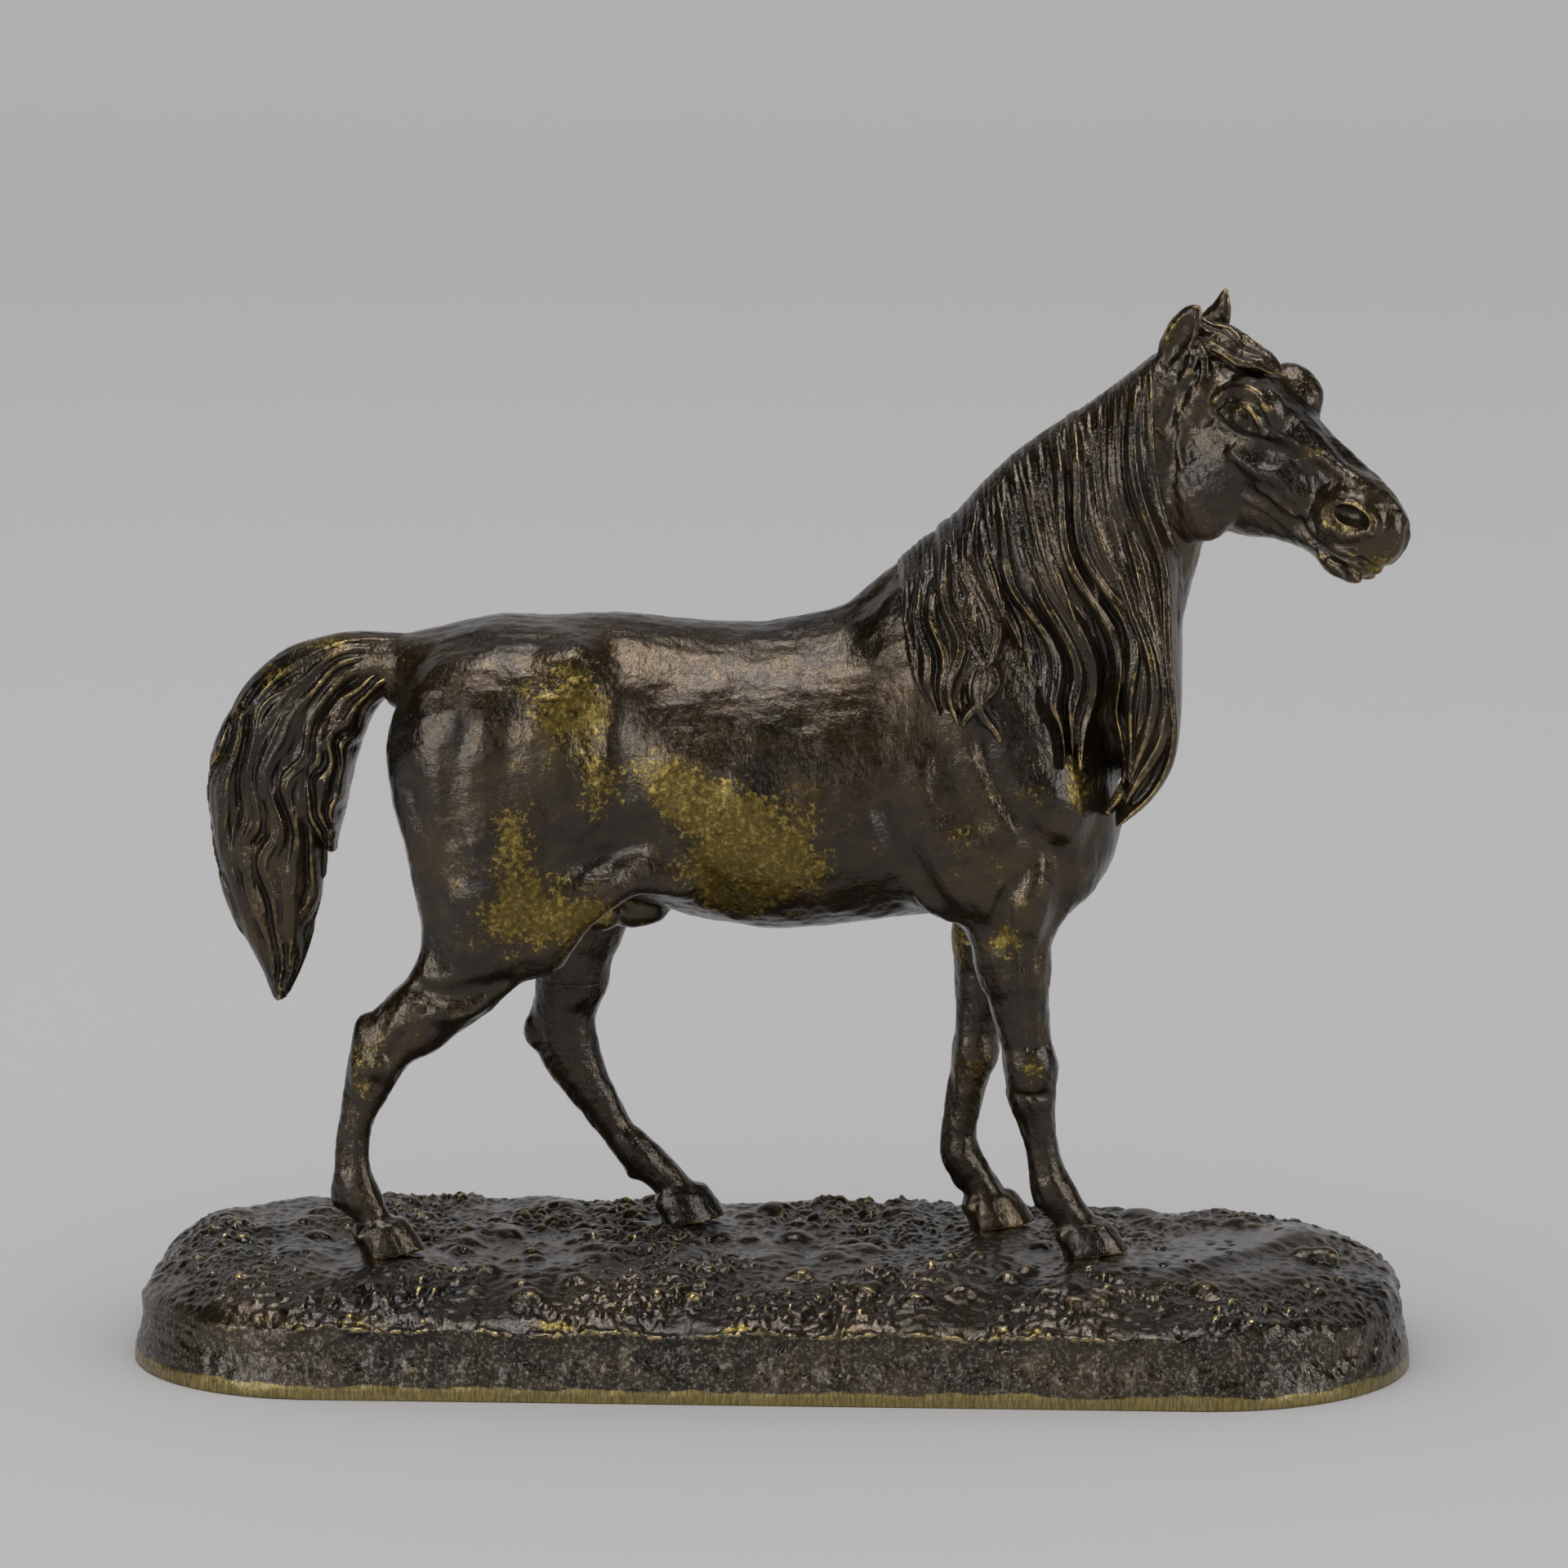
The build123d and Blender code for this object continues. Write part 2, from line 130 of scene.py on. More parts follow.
def oval(a, b, c, ra, rb, rc=None):
    """Distance to an ellipse, or to an ellipsoid if there are three radii, good near its surface."""
    near = (a / ra) ** 2 + (b / rb) ** 2
    steep = (a / ra**2) ** 2 + (b / rb**2) ** 2
    if rc is not None:
        near = near + (c / rc) ** 2
        steep = steep + (c / rc**2) ** 2
    near = np.sqrt(near)
    return near * (near - 1) / np.sqrt(np.maximum(steep, 1e-6))


def mass(field, centre, radii, soft=1.0, axes=UPRIGHT, cut=False):
    """Adds or cuts an ellipsoid. The rows of axes are its own three directions."""
    centre, radii = np.array(centre, float), np.array(radii, float)
    reach = np.sqrt(((axes.T * radii) ** 2).sum(1)) + soft + 1.0
    where, *place = field.window(centre - reach, centre + reach)
    shape = oval(*(dot(place, centre, axis) for axis in axes), *radii).astype(np.float32)
    (field.carve if cut else field.join)(where, shape, soft)


def smooth_path(stations, pieces=5):
    """A curve through the stations, with all their sizes, in short straight pieces."""
    points = np.array(stations, float)
    ends = np.vstack([2 * points[0] - points[1], points, 2 * points[-1] - points[-2]])
    made = []
    for i in range(len(points) - 1):
        a, b, c, d = ends[i : i + 4]
        for t in np.arange(pieces) / pieces:
            bend = (2 * a - 5 * b + 4 * c - d) * t**2 + (3 * b - a - 3 * c + d) * t**3
            made.append(b + 0.5 * ((c - a) * t + bend))
    made.append(points[-1])
    return np.array(made)


def limb(field, stations, soft=1.0, strands=0.0, pitch=0.9, lateral=(0, 1, 0)):
    """Adds a limb through stations of x, y, z, half depth and half width. Strands are grooves along it."""
    path = smooth_path(stations)
    pad = soft + 1.2
    span = path[:, 3:5].max(1)[:, None] + pad
    where, *_ = field.window((path[:, :3] - span).min(0), (path[:, :3] + span).max(0))
    whole = field.part(where)
    run = 0.0
    for before, after in zip(path[:-1], path[1:]):
        along = after[:3] - before[:3]
        length = np.linalg.norm(along)
        if length < 1e-6:
            continue
        reach = max(before[3:5].max(), after[3:5].max()) + pad
        low, high = np.minimum(before, after)[:3] - reach, np.maximum(before, after)[:3] + reach
        there, *place = whole.window(low, high)
        run += length
        direction = along / length
        side = np.cross(lateral, direction)
        side /= max(np.linalg.norm(side), 1e-6)
        reached = dot(place, before, direction)
        across = dot(place, before, side)
        up = dot(place, before, np.cross(direction, side))
        share = np.clip(reached / length, 0, 1)
        beyond = reached - share * length
        deep, wide = (before[k] + (after[k] - before[k]) * share for k in (3, 4))
        shape = oval(np.sqrt(across**2 + beyond**2), up, 0, deep, wide)
        if strands:
            phase = across / pitch + 0.35 * np.sin((run + reached) * 0.45 + before[0])
            fine = 0.5 - 0.5 * np.cos(2 * math.pi * phase)
            broad = 0.5 - 0.5 * np.cos(2 * math.pi * phase * 0.43 + 1.0)
            shape = shape + strands * (fine * 0.6 + broad * 0.8)
        whole.d[there] = np.minimum(whole.d[there], shape)
    field.join(where, whole.d, soft)


def stroke(field, points, width, height):
    """Raises a ridge along a path of x, y, z, or sinks a groove if the height is negative."""
    path = smooth_path(points, 6)
    reach = width * 2.6
    where, *place = field.window(path.min(0) - reach, path.max(0) + reach)
    nearest = np.full(field.d[where].shape, 1e3, np.float32)
    for start, end in zip(path[:-1], path[1:]):
        along = end - start
        share = np.clip(dot(place, start, along) / max(along @ along, 1e-9), 0, 1)
        gap = sum((p - s - share * a) ** 2 for p, s, a in zip(place, start, along))
        nearest = np.minimum(nearest, gap)
    field.d[where] -= height * np.exp(-nearest / width**2)


def on_side(points, side):
    """Points given for the left side, on the side asked for."""
    return [(x, side * y, *rest) for x, y, *rest in points]


def score(field, lines, side=1):
    """Draws a list of strokes, each with its points on the left side, its width and its height."""
    for points, width, height in lines:
        stroke(field, on_side(points, side), width, height)


def ripple(field, amount, length, seed):
    """A slight unevenness all over, as the modeller's tool leaves."""
    random = np.random.default_rng(seed)
    for _ in range(5):
        heading = random.normal(size=3)
        heading *= 2 * math.pi / length / np.linalg.norm(heading) * random.uniform(0.7, 1.4)
        phase = random.uniform(0, 6.3)
        field.d += (amount / 2.2 * np.sin(dot(field.grid(), np.zeros(3), heading) + phase)).astype(np.float32)


def keep_side(field, point, normal, span_x=(-99, 99), span_y=(-99, 99)):
    """Cuts the field off a little past a plane, keeping the side that the normal points away from.

    The end dives under the surface, so that it hides in the neighbour's.
    """
    where, *place = field.window((span_x[0], span_y[0], -99), (span_x[1], span_y[1], 199))
    plane = dot(place, point, normal / np.linalg.norm(normal))
    sunk = field.d[where] + 0.3 * ramp(plane, 0, LAP)
    field.d[where] = np.maximum(sunk, plane - LAP).astype(np.float32)


# ---------------------------------------------------------------- from field to mesh


def skin(field):
    """The field's surface as points in millimetres and four-sided faces."""
    d = field.d
    inside = d < 0
    count = np.zeros([n - 1 for n in d.shape], np.int8)
    corners = [(i, j, k) for i in (0, 1) for j in (0, 1) for k in (0, 1)]
    for i, j, k in corners:
        count += inside[i : i + count.shape[0], j : j + count.shape[1], k : k + count.shape[2]]
    active = (count > 0) & (count < 8)
    cells = np.argwhere(active)
    index = np.full(count.shape, -1, np.int32)
    index[active] = np.arange(len(cells), dtype=np.int32)
    total = np.zeros((len(cells), 3))
    crossings = np.zeros(len(cells))
    for corner in corners:
        start = cells + corner
        near = d[tuple(start.T)]
        for axis in range(3):
            if corner[axis]:
                continue
            step = np.eye(3, dtype=int)[axis]
            far = d[tuple((start + step).T)]
            crosses = (near < 0) != (far < 0)
            share = np.where(crosses, near / np.where(crosses, near - far, 1), 0)
            place = start + share[:, None] * step
            total[crosses] += place[crosses]
            crossings += crosses
    points = field.low + field.step * total / crossings[:, None]
    faces = []
    for axis in range(3):
        b, c = (axis + 1) % 3, (axis + 2) % 3
        lower = [slice(None)] * 3
        upper = [slice(None)] * 3
        lower[axis], upper[axis] = slice(0, -1), slice(1, None)
        changes = inside[tuple(lower)] != inside[tuple(upper)]
        edges = np.argwhere(changes)
        inner = (edges > 0) & (edges < np.array(d.shape) - 1)
        edges = edges[inner[:, b] & inner[:, c]]
        quad = []
        for db, dc in ((-1, -1), (0, -1), (0, 0), (-1, 0)):
            cell = edges.copy()
            cell[:, b] += db
            cell[:, c] += dc
            quad.append(index[tuple(cell.T)])
        quad = np.array(quad).T
        leaving = inside[tuple(edges.T)]
        quad[~leaving] = quad[~leaving][:, ::-1]
        faces.append(quad)
    return points, np.vstack(faces)


def relief(points, faces):
    """How far each point stands out of the surface around it, from -1 in a groove to 1 on an edge."""
    a, b = points[faces[:, 2]] - points[faces[:, 0]], points[faces[:, 3]] - points[faces[:, 1]]
    across = np.cross(a, b)
    normals = np.zeros_like(points)
    for corner in range(4):
        for axis in range(3):
            normals[:, axis] += np.bincount(faces[:, corner], across[:, axis], len(points))
    normals /= np.maximum(np.linalg.norm(normals, axis=1), 1e-9)[:, None]
    ends = np.concatenate([faces[:, [0, 1]], faces[:, [1, 2]], faces[:, [2, 3]], faces[:, [3, 0]]])
    degree = np.bincount(ends.ravel(), minlength=len(points)).clip(1)

    def around(values):
        """The mean of each point's neighbours."""
        sums = np.bincount(ends[:, 0], values[ends[:, 1]], len(points))
        sums += np.bincount(ends[:, 1], values[ends[:, 0]], len(points))
        return sums / degree

    smooth = points.copy()
    for _ in range(5):
        smooth = np.stack([around(smooth[:, axis]) for axis in range(3)], axis=1)
    out = ((points - smooth) * normals).sum(1)
    out = around(out)
    spacing = np.sqrt(np.linalg.norm(across, axis=1).mean())
    return np.clip(out / spacing * 2.2, -1, 1)


def build(name, field, node, material, hair=0.0):
    """Skins a field into one closed piece of the visual model. Hair is 1 for the brighter sheen of hair."""
    points, faces = skin(field)
    mesh = bpy.data.meshes.new(name)
    mesh.vertices.add(len(points))
    mesh.vertices.foreach_set("co", (points / 1000).astype(np.float32).ravel())
    mesh.loops.add(faces.size)
    mesh.loops.foreach_set("vertex_index", faces.astype(np.int32).ravel())
    mesh.polygons.add(len(faces))
    mesh.polygons.foreach_set("loop_start", np.arange(0, faces.size, 4, dtype=np.int32))
    mesh.polygons.foreach_set("loop_total", np.full(len(faces), 4, np.int32))
    mesh.update(calc_edges=True)
    mesh.validate()
    mesh.polygons.foreach_set("use_smooth", np.ones(len(mesh.polygons), bool))
    stored = {"relief": relief(points, faces), "rubbed": rubbed(points), "hair": np.full(len(points), hair)}
    for label, values in stored.items():
        attribute = mesh.attributes.new(label, "FLOAT", "POINT")
        attribute.data.foreach_set("value", values.astype(np.float32))
    mesh.materials.append(material)
    piece = bpy.data.objects.new(name, mesh)
    bpy.context.scene.collection.objects.link(piece)
    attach(piece, "root")
    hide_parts(node)


# ---------------------------------------------------------------- the horse's body

# x, height of the middle, half height, half width, and how much narrower the back is than the belly
TRUNK = [
    (-46.6, 83.6, 1.5, 1.5, 0),
    (-45, 83.2, 4.8, 4.2, 0),
    (-41.8, 81, 8.8, 8, 0),
    (-36, 78.4, 13.4, 12.2, 0.02),
    (-28, 76.7, 16.1, 14, 0.05),
    (-20, 75.9, 17.5, 13.8, 0.1),
    (-10, 74.1, 18.5, 14.8, 0.16),
    (0, 73.2, 19.1, 15.4, 0.18),
    (10, 74.2, 19.4, 14.6, 0.18),
    (20, 76.6, 20.4, 13, 0.14),
    (28, 77, 20, 11.6, 0.06),
    (35, 75.2, 17.2, 10.4, 0),
    (39.2, 72.2, 12.2, 8.8, 0),
    (42, 69.2, 7.2, 5.8, 0),
    (43.4, 68, 2, 2, 0),
]


def trunk(field):
    """The barrel, from the dock to the breast."""
    where, x, y, z = field.window((-49, -19, 48), (46, 19, 102))
    path = smooth_path(TRUNK, 8)
    middle, tall, wide, egg = (np.interp(x, path[:, 0], path[:, i]).astype(np.float32) for i in range(1, 5))
    width = wide * (1 - egg * np.clip((z - middle) / tall, -1, 1))
    shape = oval(y, z - middle, 0, np.maximum(width, 1), np.maximum(tall, 1))
    ends = np.maximum(-47.0 - x, x - 43.8)
    field.join(where, np.maximum(shape, ends), 2.0)


RIGHT_THIGH = [
    (-29, -5.4, 82.6, 8.6, 5),
    (-31, -7.4, 79, 12, 6.4),
    (-32.9, -8.4, 70.5, 12.3, 7),
    (-33.3, -8.9, 62.4, 11, 6.6),
    (-34.7, -9.2, 56.3, 8.4, 5.6),
    (-37.1, -9.5, 51.2, 6.3, 4.6),
    (-40.3, -9.7, 46.8, 5, 3.8),
    (-43.9, -9.8, 43.5, 4.2, 3.3),
]
RIGHT_HOCK = [
    RIGHT_THIGH[-1],
    (-46.8, -9.9, 41.2, 4, 3),
    (-48.7, -10, 38.4, 3.5, 2.7),
    (-49.8, -10, 35.2, 2.8, 2.3),
    (-51, -10, 31.6, 2, 1.9),
    (-51.7, -10, 28, 1.8, 1.7),
    (-51.8, -10.1, 24.6, 2.1, 1.8),
    (-51.5, -10.2, 21.8, 2.7, 2.2),
    (-50, -10.3, 19.4, 2.3, 2.1),
    (-49.2, -10.3, 17.6, 2.2, 2.2),
]
LEFT_THIGH = [
    *on_side(RIGHT_THIGH[:1], -1),
    (-30.8, 7.4, 79, 12, 6.4),
    (-31.4, 8.4, 70.5, 12.2, 7),
    (-29.9, 8.9, 62.4, 10.8, 6.4),
    (-27, 9.2, 55.6, 8.6, 5.4),
    (-26, 9.4, 49.6, 5.4, 4.4),
    (-25.9, 9.5, 45, 4.2, 3.4),
]
LEFT_HOCK = [
    LEFT_THIGH[-1],
    (-27.1, 9.5, 40.6, 4.1, 3),
    (-26.6, 9.5, 36.6, 3.9, 2.7),
    (-24.7, 9.5, 32.6, 3.1, 2.4),
    (-22.3, 9.5, 28.8, 2.4, 2.1),
    (-20.3, 9.6, 25.6, 2.1, 1.9),
    (-18.4, 9.7, 23.2, 2.5, 2.2),
    (-16.4, 9.8, 21.2, 2.5, 2.3),
    (-14.4, 9.8, 19.4, 2.3, 2.1),
    (-12.8, 9.8, 17.8, 2.2, 2.2),
]
RIGHT_SHOULDER = [
    (19, -5, 92, 6, 3.6),
    (24.5, -6.8, 83, 9, 5.4),
    (28, -7.4, 73, 9.6, 5.8),
    (29, -7.6, 65, 8.6, 5.2),
    (29.4, -7.6, 58, 5.8, 4.3),
    (30.2, -7.3, 51, 4.4, 3.5),
]
RIGHT_KNEE = [
    RIGHT_SHOULDER[-1],
    (31.1, -7, 45, 3.6, 3),
    (31.9, -6.8, 40.8, 3.2, 2.8),
    (32.3, -6.7, 37.6, 3.3, 2.9),
    (32.6, -6.6, 34.4, 2.9, 2.6),
    (33.4, -6.5, 31, 2.1, 2),
    (34.1, -6.5, 27.2, 1.9, 1.7),
    (34.8, -6.4, 24, 2.2, 1.9),
    (35.6, -6.3, 21.6, 2.7, 2.2),
    (37.2, -6.2, 19.4, 2.3, 2.1),
    (38.4, -6.1, 17.8, 2.2, 2.2),
]
LEFT_SHOULDER = [
    *on_side(RIGHT_SHOULDER[:2], -1),
    (27.6, 7.4, 73, 9.6, 5.8),
    (27.8, 7.8, 65, 8.4, 5.2),
    (27.5, 8, 58, 5.6, 4.3),
    (26.7, 8.2, 51, 4.2, 3.5),
]
LEFT_KNEE = [
    LEFT_SHOULDER[-1],
    (25.9, 8.4, 44, 3.3, 2.9),
    (25.4, 8.6, 39.4, 2.9, 2.6),
    (25, 8.7, 36.2, 2.9, 2.6),
    (24.3, 8.8, 32.4, 2.3, 2.2),
    (23.8, 8.9, 28.8, 2, 1.9),
    (23.3, 9, 25.4, 2.1, 1.8),
    (23.5, 9.1, 22.8, 2.6, 2.1),
    (25, 9.2, 20.4, 2.4, 2.1),
    (26.5, 9.3, 18.2, 2.2, 2.2),
]
# Middle of each sole, with the way the toe points to the side
HOOVES = {
    "right_hind": (-46.8, -10.4, -0.1),
    "left_hind": (-10.4, 9.8, 0.1),
    "right_fore": (40.8, -6.1, -0.08),
    "left_fore": (28.8, 9.3, 0.1),
}
NECK = [
    (24, 0, 80, 17, 10.4),
    (28.6, 0, 86.6, 16.9, 9.6),
    (33.8, 0, 95, 15.8, 8.2),
    (38.6, 0, 102.9, 13.9, 7),
    (43.3, -0.3, 109.8, 10.9, 6),
    (47, -0.7, 115.2, 8.6, 5.3),
    (49.7, -1, 119.9, 6.6, 4.9),
]


# Strokes in front of and behind both hips, with their points on the left side, their width and their height
HIP_LINES = [
    ([(-25.8, 14.2, 85), (-25, 15.2, 78), (-24.2, 15.4, 69)], 3, 0.5),
    ([(-18.6, 13.4, 82), (-17.6, 14.2, 75), (-17, 14, 67)], 2.6, -1),
    ([(-31, 14.6, 84), (-32, 15.8, 76), (-32.6, 16, 67)], 1.8, -0.35),
    ([(-37, 13.6, 81), (-38.6, 14.8, 73), (-38, 15, 63)], 1.6, -0.4),
    ([(-27.4, 15.6, 72.5), (-26.4, 15.4, 71)], 1.1, -0.5),
    ([(-13.4, 14.6, 68), (-9, 14.2, 62.4), (-3.5, 11.6, 57.6)], 2.4, -1.1),
    ([(-12, 15, 79), (-6, 15.6, 76.4), (-1, 16, 71)], 2.4, 0.35),
]
# Strokes that differ between the two thighs
THIGH_LINES = [
    ([(-43.8, -12.2, 73), (-42, -14.2, 64), (-41.2, -13.8, 57), (-41, -13, 51.5)], 1.7, -0.85),
    ([(-43.8, 12.2, 73), (-41, 14.2, 64), (-36.5, 13.8, 57)], 1.7, -0.8),
    ([(-42.4, -12.6, 47.6), (-39, -13.4, 47.6), (-35.5, -13.2, 48.2), (-33, -12.2, 49)], 1.3, -0.85),
    ([(-41, -13, 45), (-38, -13.2, 44.6), (-35.4, -12.8, 45.4)], 1.3, 0.5),
]


def hindquarters(field):
    """Both thighs, the buttocks, the flank, the root of the tail and the sheath."""
    limb(field, RIGHT_THIGH, 3.5)
    limb(field, LEFT_THIGH, 3.5)
    for side in SIDES:
        mass(field, (-38.5, side * 6.4, 76), (9, 7.6, 13), 3.0)
        limb(field, on_side([(-24, 8.2, 88, 2.4, 2.2), (-21.8, 10.2, 82.6, 1.8, 1.8)], side), 4.0)
        score(field, HIP_LINES, side)
        limb(field, on_side([(-42, 3, 85.6, 2.4, 2.2), (-44.4, 3, 81, 1.6, 1.6)], side), 2.0)
    limb(field, DOCK, 4.0)
    score(field, THIGH_LINES)
    for side, fold in zip(SIDES, (RIGHT_FOLD, LEFT_FOLD)):
        limb(field, on_side(fold, side), 3.0)
    limb(field, [(-21, 0, 56.8, 2.6, 2.2), (-17.5, 0, 55.9, 2.3, 2), (-15, 0, 55.9, 1.7, 1.6)], 1.6)
    mass(field, (-21.5, -2.4, 55.6), (2.4, 1.7, 2), 1.4)


# The bony root of the tail, which runs on between the locks of hair
DOCK = [
    (-34, 0, 87, 4.8, 6),
    (-41, 0, 87, 3.8, 5),
    (-45.4, 0, 87, 3.6, 4.2),
    (-48.6, 0, 86.9, 3.5, 3.6),
    (-51.4, 0, 86.5, 2.9, 2.8),
    (-53.4, 0, 86, 1.2, 1.2),
]
# The fold of skin from the stifle up to the flank
RIGHT_FOLD = [
    (-28.2, 10.8, 53.4, 3.6, 3),
    (-24.6, 11.4, 57.6, 3.1, 2.6),
    (-20.4, 11.6, 60.4, 2.6, 2.2),
    (-16, 11.6, 62.2, 2.2, 2),
    (-11, 10.8, 61.8, 2, 2),
]
LEFT_FOLD = [(x + 3.0 * max(0, (z - 50) / 12), y, z, a, b) for x, y, z, a, b in RIGHT_FOLD]


# Strokes on both shoulders, with their points on the left side, their width and their height
SHOULDER_LINES = [
    ([(14.8, 14, 71), (16.4, 13.8, 66.6), (19.4, 12.8, 62), (22.4, 12, 57.6)], 1.5, -1.2),
    ([(18.6, 13.6, 76), (19.8, 13.6, 70), (22.6, 13, 64), (26.4, 12.4, 58.4)], 1.6, 0.55),
    ([(19.5, 14, 84), (22.5, 14.2, 77), (25.5, 13.8, 70)], 1.9, -0.65),
    ([(33, 12.6, 67.4), (35.6, 11.6, 66)], 1.5, -1.1),
    ([(35.6, 11, 65), (36.4, 10, 60), (35.6, 9.4, 55.6)], 1.4, -0.9),
    ([(24.8, 11.4, 57), (26.6, 11.4, 51), (28.8, 10.4, 45)], 1, -0.5),
    ([(26.6, 13, 79.6), (28.6, 13.2, 73.5), (32.4, 12.8, 68.6)], 1.5, -0.8),
    ([(33, 12.4, 65.6), (29.8, 12.2, 60.6), (28.4, 11.6, 55.4)], 1.3, -0.9),
    ([(21.6, 13, 66), (25, 12.6, 60), (26.4, 11.8, 54)], 1.2, -0.6),
]


def forequarters(field):
    """Both shoulders, the breast, the lines of the elbows and a hint of the ribs."""
    limb(field, RIGHT_SHOULDER, 3.5)
    limb(field, LEFT_SHOULDER, 3.5)
    for side in SIDES:
        mass(field, (36.6, side * 4.4, 63.6), (4.6, 4.6, 5.6), 2.2)
        limb(field, on_side([(36.8, 5.4, 60.8, 2.2, 2.4), (33.6, 6.6, 55.6, 2, 2.2)], side), 1.6)
        mass(field, (22.8, side * 9.6, 63.5), (5.6, 3.4, 6.6), 3.4)
        mass(field, (33.6, side * 8.8, 71.5), (5, 3.6, 5.4), 3.0)
        mass(field, (31.6, side * 9.2, 60), (3.4, 2.8, 5.4), 2.0)
        score(field, SHOULDER_LINES, side)
    stroke(field, [(44, 0, 74), (43.6, 0, 67), (40, 0, 58)], 1.4, -0.9)
    for side in SIDES:
        for x, z in ((-6.0, 75), (1.5, 76), (8.6, 76)):
            rib = [(x + 1.5, 14.5, z + 7), (x, 15.6, z), (x - 2.2, 15, z - 7)]
            stroke(field, on_side(rib, side), 1.7, -0.16)


THROAT = [
    (42.5, 0, 78, 5, 4.6),
    (46, -0.3, 90, 3.8, 4),
    (48.2, -0.9, 101, 2.7, 3.4),
    (50.3, -1.6, 107.4, 2.4, 3.2),
]
WITHERS = [(4, 0, 88.6, 3.8, 3.4), (10, 0, 90.4, 3.8, 3.2), (15, 0, 94.6, 3.6, 3), (20, 0, 99.2, 3.4, 2.8)]


def neck(field):
    """The neck under the mane, with the windpipe's edge and the withers."""
    limb(field, NECK, 4.0)
    limb(field, THROAT, 3.0)
    limb(field, WITHERS, 3.0)


def hoof(field, name):
    """One hoof, wider at the sole, with a sloping front and a raised coronet."""
    cx, cy, toe = HOOVES[name]
    where, x, y, z = field.window((cx - 8, cy - 7, GROUND - 3), (cx + 8, cy + 7, GROUND + 8))
    rise = np.clip((z - GROUND) / 4.2, -0.5, 1.6)
    ahead = x - (cx - 1.5 * rise)
    aside = y - cy - toe * ahead
    long = 4.3 - 0.7 * rise - 0.5 * rise * rise
    wide = (3.5 - 0.5 * rise - 0.4 * rise * rise) * (1 - 0.05 * ahead)
    shape = oval(ahead, aside, 0, long, wide)
    top = (z - (GROUND + 4.0 + 0.27 * (x - cx + 1.6))) * 0.8
    sole = GROUND - 0.1 + 0.11 * (x - cx + 2.0) - z
    shape = np.maximum(rounded(shape, top, 1.2), sole)
    field.join(where, shape.astype(np.float32), 0.9)
    coronet = [
        (cx - 1.5 + 2.9 * math.cos(a), cy + 2.7 * math.sin(a), GROUND + 3.7 + 0.8 * math.cos(a))
        for a in np.linspace(-2.4, 2.4, 9)
    ]
    stroke(field, coronet, 0.5, 0.09)
    mass(field, (cx - 4.0, cy, GROUND + 2.4), (1.2, 2.3, 1.4), 0.8)


def behind(station, deep=0.3):
    """A point on the back of a leg, where the sinew runs."""
    return station[:3] - (station[3] - deep, 0, 0)


def beside(station, side, back=0.35):
    """A point on the flat side of a leg, a little behind its middle."""
    return station[:3] + (-back * station[3], side * station[4], 0)


def hind_leg(field, stations, name):
    """A hock, cannon, fetlock, pastern and hoof."""
    side = -1 if name.startswith("right") else 1
    limb(field, stations, 1.5)
    hoof(field, name)
    by = np.array(stations)
    point_of_hock = by[1][:3] + ((-3.4, 0, 0.8) if side < 0 else (-3.6, 0, -2.3))
    mass(field, point_of_hock, (1.5, 1.5, 2.1), 1.2)
    sinew = [(*point_of_hock, 0.9, 0.9)] + [(*behind(by[i]), 0.6, 0.6) for i in (3, 5, 7)]
    limb(field, sinew, 0.8)
    stroke(field, [beside(by[i], side) for i in (2, 4, 6)], 0.5, -0.35)
    stroke(field, [by[0][:3] + (-2.4, side * 3.2, 4), by[1][:3] + (-1.6, side * 3.0, 1.5)], 0.8, -0.45)
    stroke(field, [by[1][:3] + (1.6, side * 2.8, 1.0), by[3][:3] + (0.8, side * 2.2, 0.6)], 0.9, -0.35)
    mass(field, by[2][:3] + (0.4, side * 1.4, -0.4), (1.8, 1.6, 1.8), 1.0)
    mass(field, behind(by[7], 0.7) + (0, 0, -1.0), (1.0, 1.2, 1.1), 0.8)


def fore_leg(field, stations, name):
    """A forearm, knee, cannon, fetlock, pastern and hoof."""
    side = -1 if name.startswith("right") else 1
    limb(field, stations, 1.5)
    hoof(field, name)
    by = np.array(stations)
    knee = by[3][3] * 0.85
    mass(field, by[3][:3] + (0.5, 0, 0.4), (knee, knee, knee + 0.2), 1.0)
    limb(field, [(*behind(by[i]), 0.6, 0.6) for i in (4, 6, 8)], 0.8)
    stroke(field, [beside(by[i], side) for i in (4, 6, 7)], 0.5, -0.35)
    fold = [by[4][:3] + (share * by[4][3], side * by[4][4] * 0.85, 0.2) for share in (0.8, 0.0, -0.8)]
    stroke(field, fold, 0.5, -0.4)
    muscle = [(1.4, 3.4, 2), (1.0, 2.9, 0), (0.6, 2.6, 0)]
    stroke(field, [station[:3] + offset for station, offset in zip(by, on_side(muscle, side))], 0.6, -0.4)
    mass(field, behind(by[8], 0.7) + (0, 0, -0.8), (0.9, 1.1, 1.0), 0.8)


LEGS = {"right_hind": RIGHT_HOCK, "left_hind": LEFT_HOCK, "right_fore": RIGHT_KNEE, "left_fore": LEFT_KNEE}


def whole_horse(field):
    """Everything but the head and the hair."""
    trunk(field)
    neck(field)
    hindquarters(field)
    forequarters(field)
    for name, lower in LEGS.items():
        (hind_leg if name.endswith("hind") else fore_leg)(field, lower, name)
    modelled(field)


def modelled(field):
    """The slight unevenness of a surface worked by hand."""
    ripple(field, 0.08, 6.0, 3)
    ripple(field, 0.045, 2.4, 4)
    ripple(field, 0.03, 1.2, 5)


# ---------------------------------------------------------------- the head

